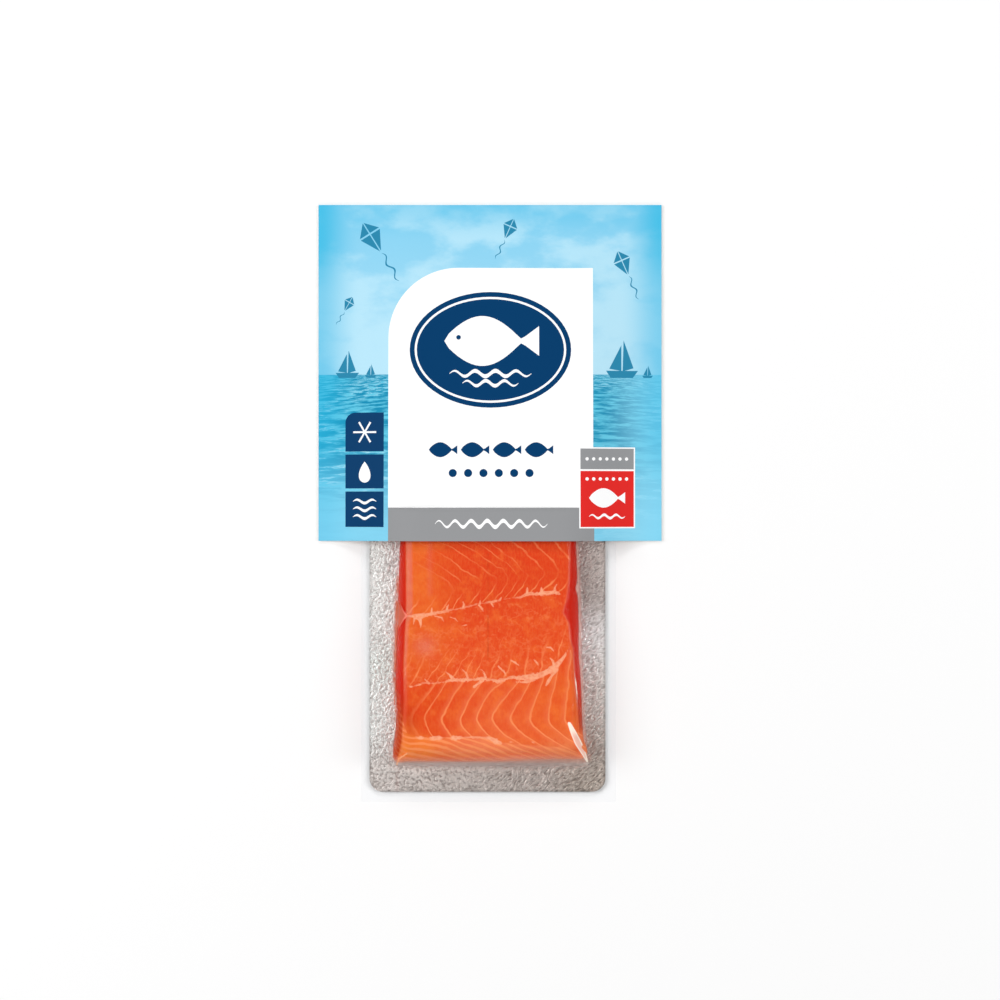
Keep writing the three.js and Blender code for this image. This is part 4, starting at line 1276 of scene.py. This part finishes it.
def sky_and_sea():
    """Blue sky with soft clouds over a sea, deeper towards the card's edges. The waves are noise over a
    place as seen in perspective: with d the depth below the horizon, they are read at x / d and at the
    logarithm of d."""
    material, tree, out = fresh("print_sky_and_sea")
    place = add(tree, "TexCoord").outputs["Object"]
    px, py, _ = add(tree, "SeparateXYZ", place).outputs
    spread = add(tree, "Mapping", {"Vector": place, "Scale": (1, 1.7, 1)})
    clouds = add(tree, "TexNoise", {"Vector": spread, "Scale": per_metre(45), "Detail": 5, "Roughness": 0.55})
    rise = add(tree, "MapRange", py, (HORIZON + 2) * MM, FOLD * MM, **EASED)
    sky = add(tree, "Mix", {0: rise, 6: linear("#a1d5ec"), 7: linear("#84cbe9")}, **COLOURS)
    cloudy = add(tree, "MapRange", clouds, 0.42, 0.58, 0.0, 0.75, **EASED)
    sky = add(tree, "Mix", {0: cloudy, 6: sky, 7: linear("#b9e2f2")}, **COLOURS)

    depth = add(tree, "Math", (HORIZON + NEAREST) * MM, py, **LESS)
    depth = add(tree, "Math", depth, NEAREST * MM, **LARGER)
    across = add(tree, "Math", px, add(tree, "Math", depth, 0.45, **TIMES), **OVER)
    seen = add(tree, "CombineXYZ", across, add(tree, "Math", depth, 1.07, **LOG))
    waves = add(tree, "TexNoise", {"Vector": seen, "Scale": 1, "Detail": 4, "Roughness": 0.6})
    crest = add(tree, "MapRange", waves, 0.4, 0.62, **EASED)
    foam = add(tree, "Math", add(tree, "Math", waves, 0.56, **LESS), **SIZE)
    foam = add(tree, "MapRange", foam, 0.04, 0.0, **EASED)
    foam = add(tree, "Math", foam, add(tree, "MapRange", clouds, 0.45, 0.6, 0.0, 0.7, **EASED), **TIMES)
    sea = add(tree, "Mix", {0: crest, 6: linear("#1489b0"), 7: linear("#5fc4df")}, **COLOURS)
    for share, tone in [
        (foam, linear("#c4e9f5")),
        (add(tree, "MapRange", py, 32 * MM, -12 * MM, 0.0, 0.9, **EASED), linear("#84d0ec")),
        (add(tree, "MapRange", px, 48 * MM, 78 * MM, 0.0, 0.55, **EASED), linear("#a0e0f5")),
    ]:
        sea = add(tree, "Mix", {0: share, 6: sea, 7: tone}, **COLOURS)

    below = add(tree, "MapRange", py, (HORIZON + 0.25) * MM, (HORIZON - 0.25) * MM, **EASED)
    scene = add(tree, "Mix", {0: below, 6: sky, 7: sea}, **COLOURS)
    aside = add(tree, "MapRange", add(tree, "Math", px, **SIZE), 60 * MM, 80 * MM, 0.0, 0.6, **EASED)
    for low, high, weaker, stronger in [(0, 40 * MM, 0.45, 1.0), (95 * MM, 120 * MM, 1.0, 1.4)]:
        by_height = add(tree, "MapRange", py, low, high, weaker, stronger, **EASED)
        aside = add(tree, "Math", aside, by_height, **TIMES)
    upward = add(tree, "MapRange", py, 122 * MM, 139 * MM, 0.0, 0.4, **EASED)
    rim = add(tree, "Math", aside, upward, **LARGER)
    varnished(tree, out, add(tree, "Mix", {0: rim, 6: scene, 7: linear("#30b6de")}, **COLOURS))
    return material


# %% Raw card, and an ink for each face
def raw_card():
    """Uncoated inside and cut edge: off-white pulp, with its fibres drawn as coarse as they need to show."""
    material, tree, out = fresh("raw_carton_board")
    place = add(tree, "TexCoord").outputs["Object"]
    pulp = add(tree, "TexNoise", {"Vector": place, "Scale": per_metre(0.67), "Detail": 5})
    colour = add(tree, "Mix", {0: pulp, 6: linear("#e9e6df"), 7: linear("#f6f4ef")}, **COLOURS)
    bump = add(tree, "Bump", {"Strength": 0.3, "Distance": 0.2 * MM, "Height": pulp})
    shader = add(tree, "BsdfPrincipled", {"Base Color": colour, "Roughness": 0.85, "Normal": bump})
    tree.links.new(shader.outputs[0], out.inputs["Surface"])
    return material


RAW = DEEP + 1
inks = [sky_and_sea(), plain_ink("print_white", "#fdfdfd"), plain_ink("print_grey", "#939496"),
        plain_ink("print_navy", "#053b68"), plain_ink("print_red", "#e12a27"),
        plain_ink("print_deep_blue", "#2b84a8"), raw_card()]
for material in inks:
    sleeve_front.data.materials.append(material)
    sleeve_back.data.materials.append(material)
front_ink = np.full(len(sleeve_front.data.polygons), RAW)
front_ink[:len(ink)] = ink
sleeve_front.data.polygons.foreach_set("material_index", front_ink.astype(np.int32))
back_ink = np.full(len(sleeve_back.data.polygons), RAW)
back_ink[len(back_triangles):2 * len(back_triangles)] = SKY
sleeve_back.data.polygons.foreach_set("material_index", back_ink.astype(np.int32))
print("inks:", [ink.name for ink in inks])

# %% [markdown]
# ## Each piece rides on the pack's one body
# The fish, the board and the film stand for the pouch's solid, and the two cards for the sleeve's.

# %% Ride and replace
for made, node, finish in [(fillet, "vacuum_pack", "fish_flesh"), (foil_board, "vacuum_pack", "board_foil"),
                           (film_pouch, "vacuum_pack", "pouch_film"),
                           (sleeve_front, "card_sleeve", "sleeve_card"),
                           (sleeve_back, "card_sleeve", "sleeve_card")]:
    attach(made, "root")
    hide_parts(node)
    print(made.name, "stands for", node, "in", finish)

# %% [markdown]
# ## Floor, light and camera
# The pack was photographed upright and square on. Lying down, it is seen from straight above through a long
# lens, on a white floor in even light, with a larger soft box at the left, where the foil and the film show
# their glints.

# %% Floor
FLOOR_HALF, FLOOR_Z = 4, -0.2 * MM
floor_mesh = bpy.data.meshes.new("floor")
corners = [(FLOOR_HALF * i, FLOOR_HALF * j, FLOOR_Z) for i, j in ((-1, -1), (1, -1), (1, 1), (-1, 1))]
floor_mesh.from_pydata(corners, [], [(0, 1, 2, 3)])
floor = bpy.data.objects.new("floor", floor_mesh)
bpy.context.scene.collection.objects.link(floor)
paper, tree, out = fresh("white_paper")
matt = add(tree, "BsdfDiffuse", {"Color": linear("#f7f7f7"), "Roughness": 0.5})
tree.links.new(matt.outputs[0], out.inputs["Surface"])
floor_mesh.materials.append(paper)
print("floor", [round(size, 1) for size in floor.dimensions], "m")

# %% Light
world = bpy.data.worlds.new("studio")
bpy.context.scene.world = world
world.use_nodes = True
room = world.node_tree.nodes["Background"].inputs
room["Color"].default_value = linear("#ffffff")
room["Strength"].default_value = 0.22


def soft_box(name, place, width, height, power):
    """A rectangular area light that faces the pack: its -Z points from its place to the middle of the
    floor."""
    data = bpy.data.lights.new(name, "AREA")
    data.shape, data.size, data.size_y, data.energy = "RECTANGLE", width, height, power
    lamp = bpy.data.objects.new(name, data)
    lamp.location = place
    lamp.rotation_euler = (-Vector(place)).to_track_quat("-Z", "Y").to_euler()
    bpy.context.scene.collection.objects.link(lamp)


soft_box("left_box", (-1.5, 0.35, 1.45), 1.1, 1.4, 28)
soft_box("right_box", (1.7, 0.2, 1.5), 0.7, 1.4, 21)
soft_box("top_box", (0, 1.9, 1.5), 1.6, 0.6, 13)
soft_box("bottom_box", (0.2, -1.9, 1.5), 1.6, 0.6, 11)
print(len(bpy.data.lights), "soft boxes")

# %% Camera
FRAME_WIDTH = 465 * MM
LENS = 120
SENSOR = 36
AIM = (4.65 * MM, 1.63 * MM, 6 * MM)
camera_data = bpy.data.cameras.new("camera")
camera_data.lens, camera_data.sensor_width = LENS, SENSOR
camera = bpy.data.objects.new("camera", camera_data)
camera.location = (AIM[0], AIM[1], AIM[2] + FRAME_WIDTH * LENS / SENSOR)
bpy.context.scene.collection.objects.link(camera)
bpy.context.scene.camera = camera
bpy.context.scene.view_settings.view_transform = "Standard"
print("camera height", round(camera.location.z, 3), "m")
